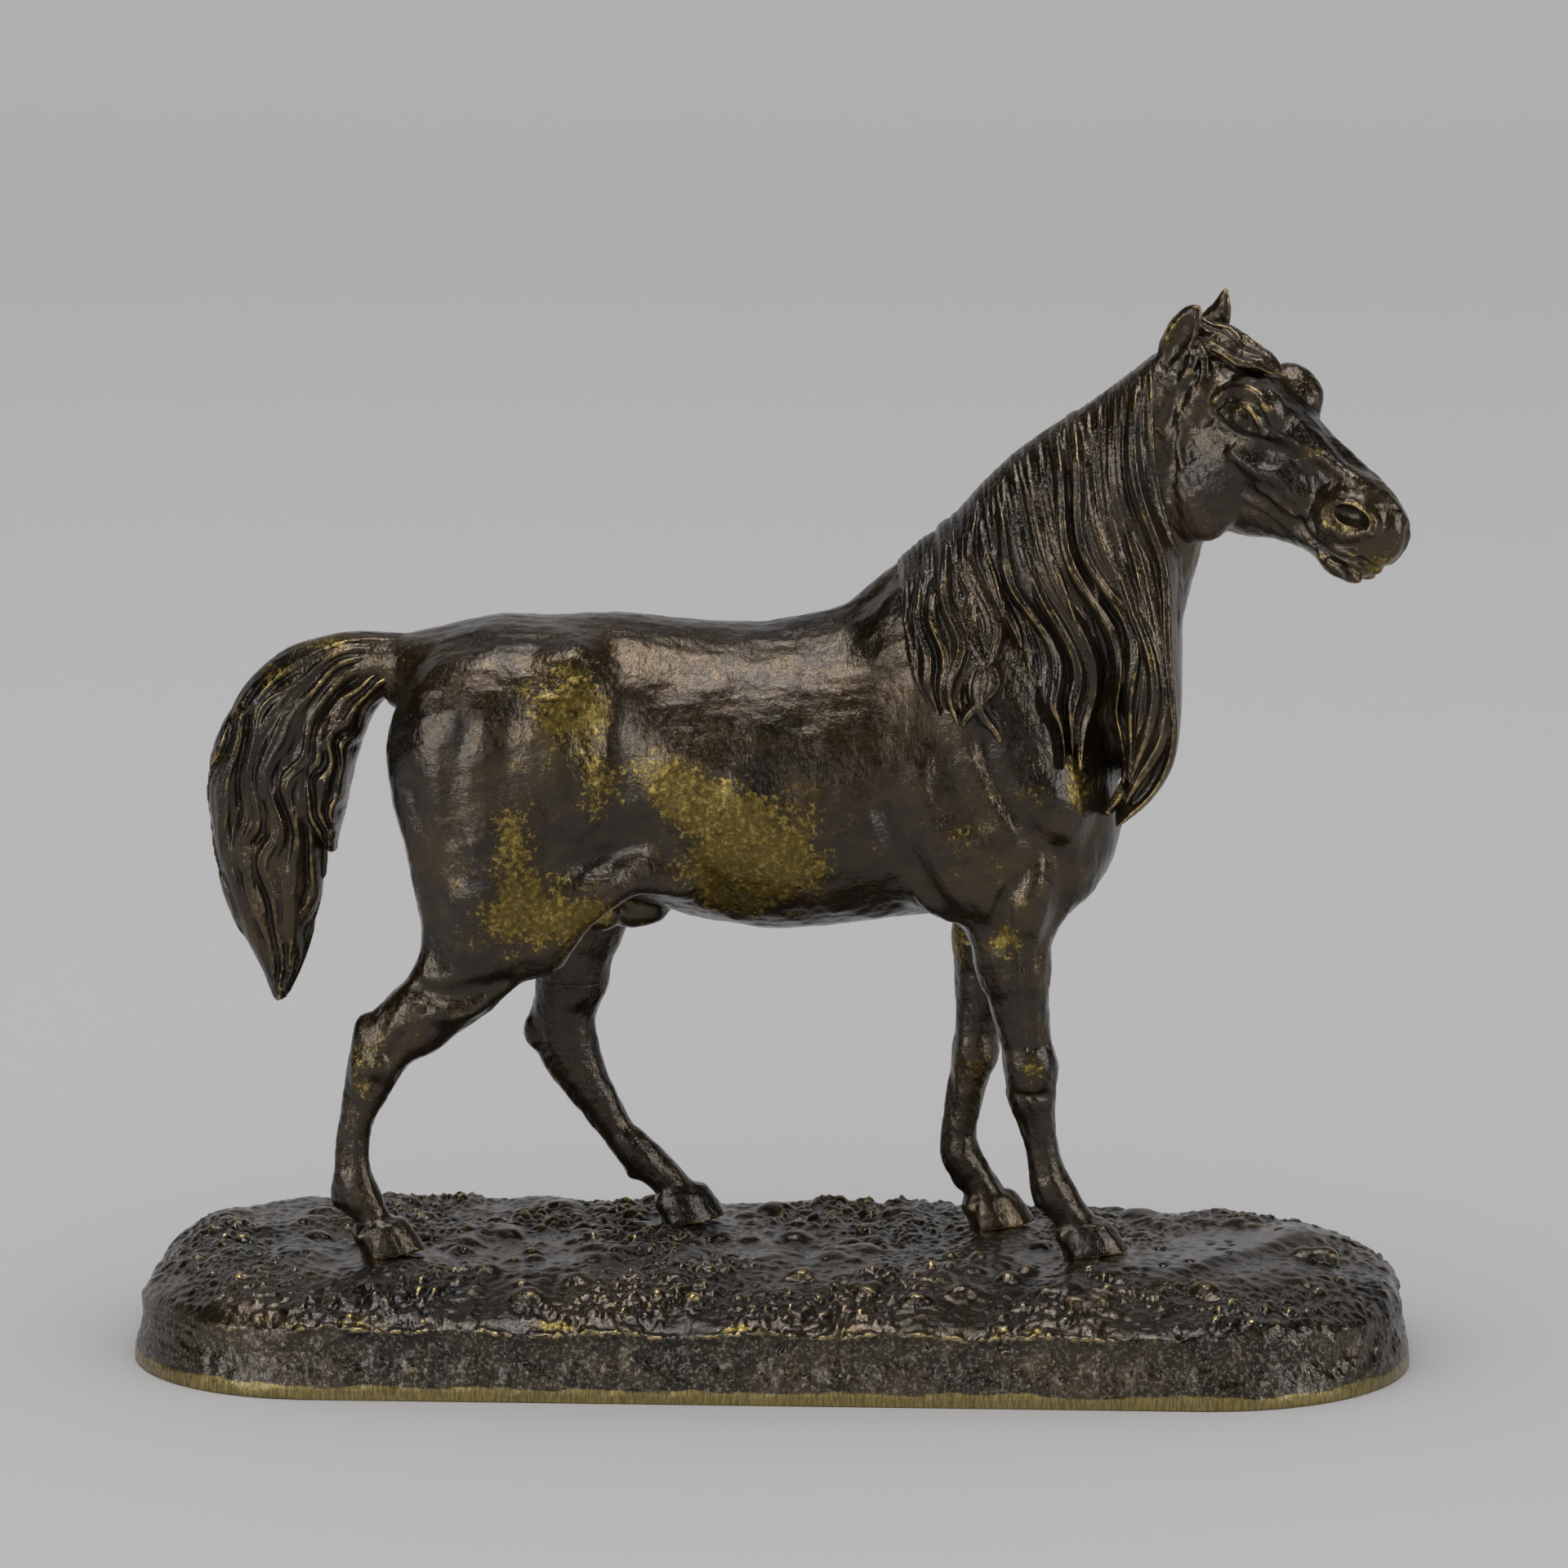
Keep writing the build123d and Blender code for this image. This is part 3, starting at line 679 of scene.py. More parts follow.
FORWARD = np.array([math.cos(HEAD_YAW), -math.sin(HEAD_YAW), 0]) * math.cos(HEAD_PITCH)
FORWARD[2] = -math.sin(HEAD_PITCH)
LEFT = np.array([math.sin(HEAD_YAW), math.cos(HEAD_YAW), 0.0])
HEAD_AXES = np.array([FORWARD, LEFT, np.cross(FORWARD, LEFT)])
# Distance along the head from the poll, height of the middle, half height, half width
SKULL = [
    (-2.6, -2.8, 3.4, 2.8),
    (0.4, -0.8, 6.2, 4.3),
    (4, -0.8, 8.2, 5),
    (8, -2, 9.8, 5.3),
    (12, -2.1, 9.6, 5),
    (16, -1.7, 7.9, 4.2),
    (20, -1.7, 6.7, 3.5),
    (24, -1.4, 6.2, 3.3),
    (27.6, -1.2, 6.4, 3.7),
    (29.2, -0.8, 5.5, 3.5),
    (30.6, -0.4, 4.3, 2.9),
    (31.5, 0, 2.4, 1.8),
]


def at(ahead, left, up):
    """A point in the head's own directions, from the poll."""
    return POLL + np.array([ahead, left, up]) @ HEAD_AXES


def land(field, point, towards, lift=0.0):
    """Where a straight way from a point first meets the surface, raised off it by the lift."""
    point, towards = np.array(point, float), np.array(towards, float)
    towards = towards / np.linalg.norm(towards)
    steps = np.arange(0, 36, field.step * 0.5)
    places = point + steps[:, None] * towards
    cells = np.rint((places - field.low) / field.step).astype(int)
    good = ((cells >= 0) & (cells < field.d.shape)).all(1)
    values = np.full(len(steps), FAR)
    values[good] = field.d[tuple(cells[good].T)]
    first = int(np.argmax(values < 0)) if (values < 0).any() else int(np.argmin(values))
    return places[first] - towards * lift


def head_lines(field, lines, side):
    """Strokes on the side of the head. Their points are distances along the head and up."""
    for points, width, height in lines:
        path = [land(field, at(ahead, side * 10, up), -side * LEFT) for ahead, up in points]
        stroke(field, path, width, height)


def rod(field, stations, side, soft):
    """A round limb on the head, through stations of distance ahead, outwards, up and radius."""
    placed = [(*at(ahead, side * out, up), radius, radius) for ahead, out, up, radius in stations]
    limb(field, placed, soft, lateral=LEFT)


NOSE_BONE = [(13, 1.9, 5.2, 1.7), (20, 1.5, 4.3, 1.35), (26, 1.6, 3.8, 1.2), (29, 1.7, 2.6, 1)]
CREST = [(11.6, 4.9, -1.2, 0.7), (14.6, 4.7, -1.3, 0.75), (17.6, 3.9, -0.9, 0.6), (20.4, 3.2, -1.6, 0.4)]
# Hollows and veins of the face: points ahead and up along the head, then the width and height of the stroke
FACE_LINES = [
    ([(4.4, 4.4), (5.2, 2.4), (5.8, 0.4)], 1.1, -0.55),
    ([(14.6, 1.4), (17, 2.6), (19.6, 2.2), (22, 1)], 1.2, -0.6),
    ([(15.4, 4.2), (18.4, 4.5), (22, 4.2)], 0.6, 0.22),
    ([(14.8, -4.4), (17.8, -4.4), (20.6, -5), (23, -5)], 0.9, -0.6),
    ([(15.2, -6.2), (18, -6), (21.2, -6.6)], 0.5, -0.35),
    ([(16, -3), (18.6, -3.3), (21.6, -3.6)], 0.35, 0.25),
    ([(20.6, 1.2), (22.2, -0.4), (22.6, -2.6), (22, -4.2)], 0.8, -0.5),
    ([(1.6, 1.6), (2.2, -2.6), (2.2, -7), (3.4, -11.2), (6.4, -14.2)], 0.8, -0.8),
    ([(13.8, -4.6), (14.2, -7.6), (13.2, -10.6)], 0.8, -0.25),
]
UPPER_LID = [(7.3, 2.2), (7.9, 3.6), (9, 4.6), (10.8, 5.1), (12.3, 4.6), (13.8, 3.4)]
# The lids with their creases, and the ridge of the brow with the dip above it
EYE_LINES = [
    (UPPER_LID, 0.38, 0.6),
    ([(ahead + 0.1, up + 0.85) for ahead, up in UPPER_LID[1:]], 0.3, -0.6),
    ([(7.3, 2.3), (8.6, 1.9), (10.4, 2.1), (12.2, 2.8), (13.8, 3.5)], 0.34, 0.4),
    ([(8, 1), (10.4, 1.1), (12.8, 2), (14.8, 2.6)], 0.4, -0.35),
    ([(5.9, 3), (6.6, 5), (8.2, 6.6), (10.4, 7.2), (12.6, 6.5)], 0.5, 1),
    ([(7, 7.6), (9.4, 8.6), (11.6, 8.4)], 0.6, -0.3),
]
# The rim of the nostril above and below
NOSTRIL_LINES = [
    (
        [(25.6, -2.1), (24.7, -1.3), (24.6, 0.1), (25.7, 1.5),
         (27.8, 2.3), (29.8, 2.4), (31, 1.8), (31.4, 0.8)],
        0.6,
        0.75,
    ),
    ([(25.6, -2.1), (27.6, -1.9), (29.8, -0.9), (31.2, 0.6)], 0.55, 0.5),
]
# The parting of the lips, the edge of the upper lip with the dip above it, and the edge of the lower lip
LIP_LINES = [
    ([(22.6, -4.2), (24.6, -4.9), (27.8, -4.8), (30, -4.3), (31.6, -3.5)], 0.45, -1.2),
    ([(25.6, -3.7), (28.4, -3.8), (30.8, -3.2)], 0.45, 0.35),
    ([(24, -3), (25.4, -3.9), (28, -3.4), (30.4, -2.2)], 0.45, -0.35),
    ([(26.4, -7), (28.8, -7), (31.2, -6.2)], 0.4, 0.25),
]


def head(field):
    """The skull, cheeks, brows, eyes, nostrils and lips. The far brow and cheek are set a little higher."""
    stations = [(*at(ahead, 0, up), tall, wide) for ahead, up, tall, wide in SKULL]
    limb(field, stations, 2.0, lateral=LEFT)
    for side in SIDES:
        cheek_up, brow_ahead, brow_up = (-8.3, 10.6, 5.4) if side < 0 else (-7.6, 10.9, 6.9)
        mass(field, at(8.8, side * 3.6, cheek_up), (6.4, 2.8, 6.9), 0.8, HEAD_AXES)
        mass(field, at(brow_ahead, side * 3.8, brow_up), (4.1, 2.3, 3.0), 1.8, HEAD_AXES)
        rod(field, [(12.2, 3.6, brow_up - 1.0, 2.1), (15.4, 2.8, 3.6, 1.7), (18.6, 2.0, 3.2, 1.2)], side, 1.6)
        mass(field, at(4.0, side * 3.6, 2.6), (2.6, 1.8, 2.6), 1.6, HEAD_AXES)
        rod(field, NOSE_BONE, side, 1.0)
        rod(field, CREST, side, 1.3)
        mass(field, at(28.2, side * 2.6, 0.7), (3.6, 1.9, 2.9), 1.0, HEAD_AXES)
        mass(field, at(28.9, side * 2.1, -2.7), (2.8, 2.0, 1.7), 0.7, HEAD_AXES)
        mass(field, at(29.2, side * 1.8, -6.0), (3.5, 1.8, 1.3), 0.4, HEAD_AXES)
        head_lines(field, FACE_LINES, side)
        eye(field, side)
        head_lines(field, NOSTRIL_LINES, side)
        nostril(field, side)
        head_lines(field, LIP_LINES, side)
    groove = [land(field, at(40, 0, up), -FORWARD) for up in (2.2, 0.6, -1.0, -2.6)]
    stroke(field, groove, 0.5, -0.3)
    mouth = [land(field, at(40, left, -3.6), -FORWARD) for left in (-3.0, -1.5, 0.0, 1.5, 3.0)]
    stroke(field, mouth, 0.45, -0.9)


def eye(field, side):
    """A shallow socket with the ball in it, two lids that meet at the corners, and the ridge of the brow."""
    mass(field, at(10.2, side * 7.2, 3.2), (3.0, 1.9, 1.7), 0.7, HEAD_AXES, cut=True)
    mass(field, at(10.1, side * 5.0, 3.4), (1.55, 1.6, 1.45), 0.1, HEAD_AXES)
    head_lines(field, EYE_LINES, side)


def nostril(field, side):
    """The oval hole, which slopes up towards the front."""
    hole = land(field, at(28.2, side * 10, 0.9), -side * LEFT)
    ahead, left, up = HEAD_AXES
    tilt = np.array([ahead * 0.95 + up * 0.3, left, up * 0.95 - ahead * 0.3])
    mass(field, hole, (2.5, 1.7, 1.25), 0.35, tilt, cut=True)


def ear(field, side):
    """A leaf-shaped ear, scooped out on its outer face."""
    tip, back = (10.7, -2.4) if side < 0 else (11.9, -3.2)
    stations = [
        (*at(-1.8, side * 3.0, 1.6), 1.9, 1.5),
        (*at(-2.4, side * 3.5, 4.6), 2.3, 1.25),
        (*at(-2.6, side * 3.8, 7.2), 2.1, 1.0),
        (*at(-2.6, side * 3.8, 9.4), 1.45, 0.75),
        (*at(back, side * 3.7, tip), 0.5, 0.4),
    ]
    limb(field, stations, 0.7, lateral=LEFT)
    mass(field, at(-2.2, side * 5.0, 6.6), (1.5, 1.1, 3.8), 0.2, HEAD_AXES, cut=True)


# Locks of the forelock in the head's directions: distance ahead, to the left, up, half width, half thickness
FORELOCK = [
    [(-2.4, 0.8, 8, 1, 0.9), (1, 1, 8.8, 1.4, 1.1), (4.6, 0.9, 8.8, 1.4, 1.1),
     (7.6, 0.5, 9.2, 1, 0.9), (10, 0.1, 9, 0.3, 0.3)],
    [(-2.4, -0.6, 7.4, 1, 0.9), (1, -0.8, 8.3, 1.2, 1.1), (4.6, -0.8, 8.3, 1.2, 1),
     (7.8, -0.4, 8.9, 0.9, 0.8), (10.2, 0, 8.9, 0.3, 0.3)],
    [(-2.2, -1.8, 6, 0.9, 0.8), (0.8, -2.3, 7.3, 1.2, 1), (3.6, -2.5, 7.5, 1.1, 1),
     (6.4, -1.9, 8.1, 0.8, 0.8), (9, -1, 8.6, 0.3, 0.3)],
    [(-1.8, -2.8, 6.6, 0.9, 0.8), (0.2, -4, 5.4, 1, 0.8),
     (0.9, -4.9, 3.2, 0.9, 0.7), (0.4, -5, 1.2, 0.3, 0.3)],
    [(-1.6, -2.4, 7, 0.8, 0.8), (1, -3.4, 6.4, 0.9, 0.8),
     (2.6, -4.3, 4.9, 0.8, 0.7), (3.2, -5.2, 3, 0.3, 0.3)],
    [(-2.2, 2, 6.4, 0.9, 0.8), (1, 2.6, 8, 1.2, 0.9), (4, 2.8, 8.6, 1, 0.8), (7, 2.2, 9, 0.3, 0.3)],
]


def forelock(field):
    """Hair that falls between the ears on to the brow."""
    for stations in FORELOCK:
        placed = [(*at(ahead, left, up), wide, thick) for ahead, left, up, wide, thick in stations]
        limb(field, placed, 0.25, lateral=LEFT, strands=0.26, pitch=0.7)


# ---------------------------------------------------------------- the mane and the tail

# Flow lines of the mane on the right side, from the crest down, as x and z. The last runs just ahead of it.
MANE_FLOW = [
    [(16, 100.6), (16.8, 97.4), (17, 94.4), (17.4, 91.2), (18.4, 87.6), (20, 83.8)],
    [(18.4, 103), (18.8, 98.6), (19, 94), (19.6, 90), (20.8, 86), (21.4, 82.4)],
    [(20.6, 104.6), (21.4, 99.5), (22, 94), (22.8, 89), (22.3, 84.8), (22.6, 80.8)],
    [(24.2, 106.8), (24.1, 102.6), (25.6, 98.4), (26.6, 93), (27, 87), (25.6, 79.2)],
    [(26.8, 111), (27.6, 104.5), (30, 98), (33, 91.4), (35.8, 84.5), (36, 78)],
    [(29.6, 114), (31.2, 107), (33.8, 100), (36.6, 93), (38.6, 86), (38.4, 79.5), (37.4, 72)],
    [(34.2, 117), (35.2, 109), (37.4, 101), (40, 94), (42.8, 87), (43.6, 79), (43.2, 73.4)],
    [(38.4, 119.8), (39, 112), (40.8, 104.5), (43.4, 97), (45.8, 89.5), (46, 81), (43.4, 71.6)],
    [(42.4, 122.4), (42.6, 114.5), (44, 106.5), (46.4, 99), (48.4, 90), (48.4, 80), (42.9, 69.4)],
    [(45.6, 124.6), (45.8, 117), (46.9, 109.5), (48.6, 102),
     (50.2, 92), (50.8, 80), (47.8, 72.8), (42, 66.6)],
    [(48, 126), (48.4, 118), (49.6, 110.5), (51.2, 103), (53, 92), (53.8, 79), (50.4, 70.4), (43.2, 64)],
]


def even(line, count):
    """A smooth line through the points, resampled to evenly spaced ones."""
    path = smooth_path(line, 12)
    run = np.concatenate([[0], np.cumsum(np.linalg.norm(np.diff(path, axis=0), axis=1))])
    spots = np.linspace(0, run[-1], count)
    return np.stack([np.interp(spots, run, path[:, k]) for k in range(path.shape[1])], axis=1)


STEPS_DOWN = 60  # points on each flow line


class Sheet:
    """Hair combed along flow lines in side view: for each x and z, which line it is on and how far down."""

    def __init__(self, field, lines):
        threads = [even(line, STEPS_DOWN) for line in lines]
        threads = [1.5 * threads[0] - 0.5 * threads[1]] + threads + [1.5 * threads[-1] - 0.5 * threads[-2]]
        order = np.array([-0.5, *range(len(lines)), len(lines) - 0.5])
        fine = np.linspace(-0.5, len(lines) - 0.5, 60 * len(lines))
        combed = np.array(threads).reshape(len(threads), -1)
        combed = np.stack([np.interp(fine, order, column) for column in combed.T], axis=1)
        combed = combed.reshape(len(fine), STEPS_DOWN, 2)
        down = np.linspace(0, STEPS_DOWN - 1, 640)
        low, share = np.floor(down).astype(int), (down % 1)[None, :, None]
        places = combed[:, low] * (1 - share) + combed[:, np.ceil(down).astype(int)] * share
        size = (len(field.axes[0]), len(field.axes[2]))
        i, k = (np.rint((places[..., n] - field.low[2 * n]) / field.step).astype(int) for n in (0, 1))
        good = (i >= 0) & (i < size[0]) & (k >= 0) & (k < size[1])
        cell = (i * size[1] + k)[good]

        def gathered(values):
            """The sum of the values that fall in each cell."""
            values = np.broadcast_to(values, i.shape)[good]
            return np.bincount(cell, values, size[0] * size[1]).reshape(size)

        hits = gathered(np.ones(1))
        self.hair = hits > 0
        place = gathered(fine[:, None]) / np.maximum(hits, 1)
        t = gathered(down[None, :] / (STEPS_DOWN - 1)) / np.maximum(hits, 1)
        share = self.hair.astype(float)
        for _ in range(6):
            place, t, share = (self.spread(layer) for layer in (place, t, share))
        self.place, self.t = place / np.maximum(share, 1e-6), t / np.maximum(share, 1e-6)
        slope = np.hypot(*np.gradient(self.place, field.step))
        self.gap = 1 / np.clip(slope, 0.1, 4.0)
        for _ in range(12):
            self.gap = self.spread(self.gap)

    @staticmethod
    def spread(layer):
        """Each cell's mean with its neighbours."""
        for axis in (0, 1):
            layer = 0.5 * layer + 0.25 * (np.roll(layer, 1, axis) + np.roll(layer, -1, axis))
        return layer

    def lock(self, height, centre, half, start, end, tall, wave, phase, strands=0.14, pitch=0.75, turns=8.0):
        """Raises one wavy, pointed lock between two distances down, with strands scored along it."""
        run = np.clip(self.t - start, 0, 1)
        left = ramp(self.t, end, end - 0.25)
        wander = centre + wave * np.sin(turns * run + phase) * np.sqrt(run)
        off = (self.place - wander) * self.gap
        taper = (0.1 + 0.9 * np.sqrt(left)) * (0.45 + 0.55 * np.sqrt(ramp(run, 0, 0.2)))
        crown = 1 - (off / (half * taper)) ** 2
        scores = 0.5 + 0.5 * np.cos(2 * math.pi * (off / pitch + 0.25 * np.sin(9 * run + phase)))
        scores += 0.7 * np.sin(off / pitch * 2.1 + phase + 3.0 * run)
        rise = tall * ramp(run, 0, 0.22) ** 0.6 * (0.35 + 0.65 * np.sqrt(left))
        body = rise * (1.4 * np.sqrt(np.clip(crown, 0, 1)) - 0.4) - strands * scores * np.sqrt(left)
        there = self.hair & (crown > 0) & (self.t < end) & (self.t >= start)
        return np.where(there, np.maximum(height, body), height)


def on_the_breast(field, height):
    """The hair's height at every point. On the front of the breast it gets shorter towards the middle."""
    x, y, z = field.grid()
    drop = 1.8 * np.clip(y + 10, 0, 9) * ramp(x, 42, 46) * ramp(z, 104, 94)
    level = np.rint((z - drop - field.low[2]) / field.step).astype(int)
    return height[np.arange(height.shape[0])[:, None, None], np.clip(level, 0, height.shape[1] - 1)]


def from_the_crest(line):
    """A flow line that starts a little further up, past the crest."""
    points = np.array(line)
    back = points[0] - points[1]
    points[0] += 1.6 * back / np.linalg.norm(back)
    return points


# The bulk under the front locks, which lifts them off the breast
FRONT_BULK = [
    (45.6, -4, 97, 2.4, 3),
    (46.4, -5.6, 89, 2.6, 3.4),
    (46.6, -6.4, 80, 2.7, 3.4),
    (44.8, -7, 74.5, 2.2, 2.8),
    (41.8, -7.4, 70.2, 1.6, 2.2),
]
LONG_LOCKS = (0.7, 1.5, 2.1, 2.8, 4.2, 4.8, 6.1, 6.6, 7.3, 7.9, 8.6)  # the flow lines that they follow


def mane(field):
    """Locks that fall from the crest over the right side of the neck, draped on the neck and shoulder."""
    trunk(field)
    neck(field)
    forequarters(field)
    limb(field, FRONT_BULK, 2.0)
    bare = field.d.copy()
    hair = np.random.default_rng(11)
    lines = [from_the_crest(line) for line in MANE_FLOW]
    sheet = Sheet(field, lines)
    last = len(lines) - 2  # the last line but one, where the hair ends in front
    height = np.full(sheet.place.shape, -1.0)  # under the neck's surface where there is no hair

    def falls(centre):
        """How far down hair reaches: it stops short where the shoulder shows between the locks."""
        short = 5.25 < centre < 5.9 or 3.2 < centre < 3.9
        return hair.uniform(0.52, 0.66) if short else hair.uniform(0.86, 1.0)

    for centre in np.arange(0.0, last + 0.01, 0.36):
        half, wave, phase = draws(hair, (1.5, 2.2), (0.08, 0.18), (0, 1.4))
        end = falls(centre) * 0.94
        height = sheet.lock(height, centre, half, 0.0, end, 0.7, wave, phase, 0.2, turns=14.0)
    for centre in np.arange(0.2, last, 0.56):
        half, tall, wave, start = draws(hair, (1.4, 2.1), (1.2, 2.0), (0.18, 0.32), (0.0, 0.12))
        end, phase = falls(centre), hair.uniform(0, 2.0)
        height = sheet.lock(height, centre, half, start, end, tall, wave, phase, turns=13.0)
    for centre in LONG_LOCKS:
        half, tall, wave = draws(hair, (1.1, 1.7), (2.0, 2.8), (0.22, 0.42))
        start, phase, end = draws(hair, (0.0, 0.35), (0, 3.0), (0.9, 1.0))
        height = sheet.lock(height, centre, half, start, end, tall, wave, phase, turns=14.0)
    for _ in range(16):
        centre, start, length, tall = draws(hair, (0.3, last), (0.0, 0.5), (0.25, 0.4), (2.0, 2.7))
        height = sheet.lock(height, centre, 0.6, start, start + length, tall, 0.2, 1.0)
    height = np.where(height > 0, height * np.interp(sheet.t, (0.0, 0.14), (0.45, 1.0)), height)
    # Where the hair ends towards the left: over the crest at the top, well to the right further down
    parting = np.interp(sheet.t, (0.1, 0.35), (-0.5, -5.0))[:, None, :]
    over = ramp(field.grid()[1], parting, parting + 3.0)
    height = on_the_breast(field, height) * (1 - over) - over
    field.d = np.maximum(bare - height, -1.2 - bare).astype(np.float32)


# Flow lines of the tail in side view, front to back, as x and z: a shorter group that ends in a point half
# way down the front, and a longer one behind it that runs to the tip
TAIL_FRONT = [
    [(-43, 83.6), (-47.4, 82.9), (-49.6, 81), (-51.4, 76.8), (-52.6, 72.6), (-53.6, 68), (-54.9, 63.2)],
    [(-43, 85.4), (-48, 84.8), (-51.8, 82), (-54.4, 77.4), (-55.6, 72), (-55.8, 67.6), (-55.2, 63.2)],
    [(-43, 87.2), (-48.4, 87), (-54, 84), (-57.6, 78.6), (-58.8, 72), (-58.4, 67), (-55.6, 63.4)],
]
TAIL_BACK = [
    [(-43, 84.2), (-50, 83.6), (-54, 78.6), (-55.9, 70),
     (-56.2, 61), (-57.2, 55.2), (-59.2, 48.6), (-61.5, 44.3)],
    [(-43, 86.4), (-51.5, 86.2), (-57.4, 80.8), (-59.6, 71.6),
     (-60, 62.4), (-60.4, 55.4), (-60.8, 49.4), (-61.8, 44.2)],
    [(-43, 88.4), (-53.4, 88.2), (-61.6, 82.6), (-64.8, 73.2),
     (-65, 63.6), (-63.8, 56.4), (-62.6, 50), (-62.1, 44.1)],
    [(-43, 90.5), (-54.8, 90.4), (-64.6, 85), (-70.3, 73.4),
     (-69.9, 63.2), (-67.4, 54.4), (-64.6, 49), (-62.3, 44)],
]


def tress(field, lines, thick, locks, seed):
    """Hair seen from both sides: a bundle with the thickness given down its length, cut into wavy locks."""
    hair = np.random.default_rng(seed)
    sheet = Sheet(field, lines)
    last = len(lines) - 1
    q = 2 * sheet.place / last - 1
    width = np.interp(sheet.t, np.linspace(0, 1, len(thick)), thick)
    swell = np.clip(sheet.t / 0.25, 0.15, 1)
    for side in (-1, 1):
        phase = hair.uniform(0, 6.3)
        count = sheet.place * locks / last
        swing = 0.26 * np.sin(22 * sheet.t + 0.9 * count + phase) + 0.14 * np.sin(37 * sheet.t - 0.6 * count)
        count = count + swing * swell
        lift = hair.uniform(-0.35, 0.45, locks + 8)[np.clip(np.floor(count).astype(int) + 3, 0, locks + 7)]
        round_top = np.abs(np.sin(math.pi * count)) ** 0.6
        strands = 0.2 * np.cos(2 * math.pi * (4 * count + 0.3 * np.sin(20 * sheet.t)))
        height = (1.5 * round_top + 1.3 * lift + strands) * swell
        for _ in range(3 * locks):
            centre, start, half, length = draws(hair, (0.1, last - 0.1), (0.1, 0.7), (1.5, 2.6), (0.2, 0.36))
            tall, wave, phase = draws(hair, (1.5, 2.4), (0.12, 0.26), (0, 6.3))
            end = start + length
            height = sheet.lock(height, centre, half, start, end, tall, wave, phase, 0.2, 0.9, 24.0)
        height = sheet.spread(height)
        out = np.abs(q) - 0.05 * (height - 0.8) * swell
        profile = 1 - np.clip(out, 0, None) ** 2.4
        profile = np.sign(profile) * np.sqrt(np.abs(profile))
        reach = width * profile + (height - 0.8) * np.clip(2.4 - 2.2 * np.abs(q), 0.2, 1)
        reach = np.where(sheet.hair, reach, -1.0)
        y = field.grid()[1]
        shape = np.maximum((side * y - reach[:, None, :]) * 0.75, -side * y - 0.5)
        field.join((slice(None),) * 3, shape.astype(np.float32), 0.3)


TAIL_RIDGE = [
    (-53.5, 0, 89.6, 1, 1.6),
    (-60, 0, 87.6, 1.2, 2.2),
    (-65, 0, 83.4, 1.2, 2.3),
    (-68.2, 0, 77.4, 1, 2),
]


def tail(field):
    """The two groups of locks, springing from one root, and the ridge along the top."""
    tress(field, TAIL_BACK, (3.4, 3.2, 3.6, 4.2, 4.4, 4.0, 3.2, 2.1, 1.0), 5, 5)
    tress(field, TAIL_FRONT, (3.2, 3.3, 4.2, 4.8, 4.8, 3.6, 1.0), 3, 9)
    limb(field, TAIL_RIDGE, 0.5, strands=0.15, pitch=0.8)


# ---------------------------------------------------------------- the base

BASE_HALF = (80.0, 30.0)
BASE_CORNERS = (24.0, 26.0)  # behind and ahead of the horse
RIM = 9.2
BAND = 1.4  # height of the filed band round the foot
CEILING = 10.0  # of the hollow under the base
BOSS_RADIUS, HOLE_RADIUS = 4.2, 1.4  # round each stud
STUDS = [(x - 0.6, y) for x, y in ((-47, -10.4), (-11, 9.8), (41, -6.1), (28.4, 9.3))]


def waves(x, y, length, seed, count=6):
    """A random but smooth height over the plane, between about -1 and 1."""
    made = np.random.default_rng(seed)
    height = 0.0
    for _ in range(count):
        angle = made.uniform(0, 2 * math.pi)
        rate = 2 * math.pi / length * made.uniform(0.6, 1.6)
        height = height + np.sin((x * math.cos(angle) + y * math.sin(angle)) * rate + made.uniform(0, 6.3))
    return height / math.sqrt(count) * 0.8


def bank(x, y):
    """The smooth bank across the right-hand end, gentle behind and steep in front."""
    along = (x - 47) * 0.64 + (y + 20) * 0.77
    behind = (y + 20) * 0.64 - (x - 47) * 0.77
    shape = np.exp(-((behind / np.where(behind > 0, 9, 1.7)) ** 2))
    return 1.3 * shape * ramp(along, -3, 5) * ramp(along, 40, 32)


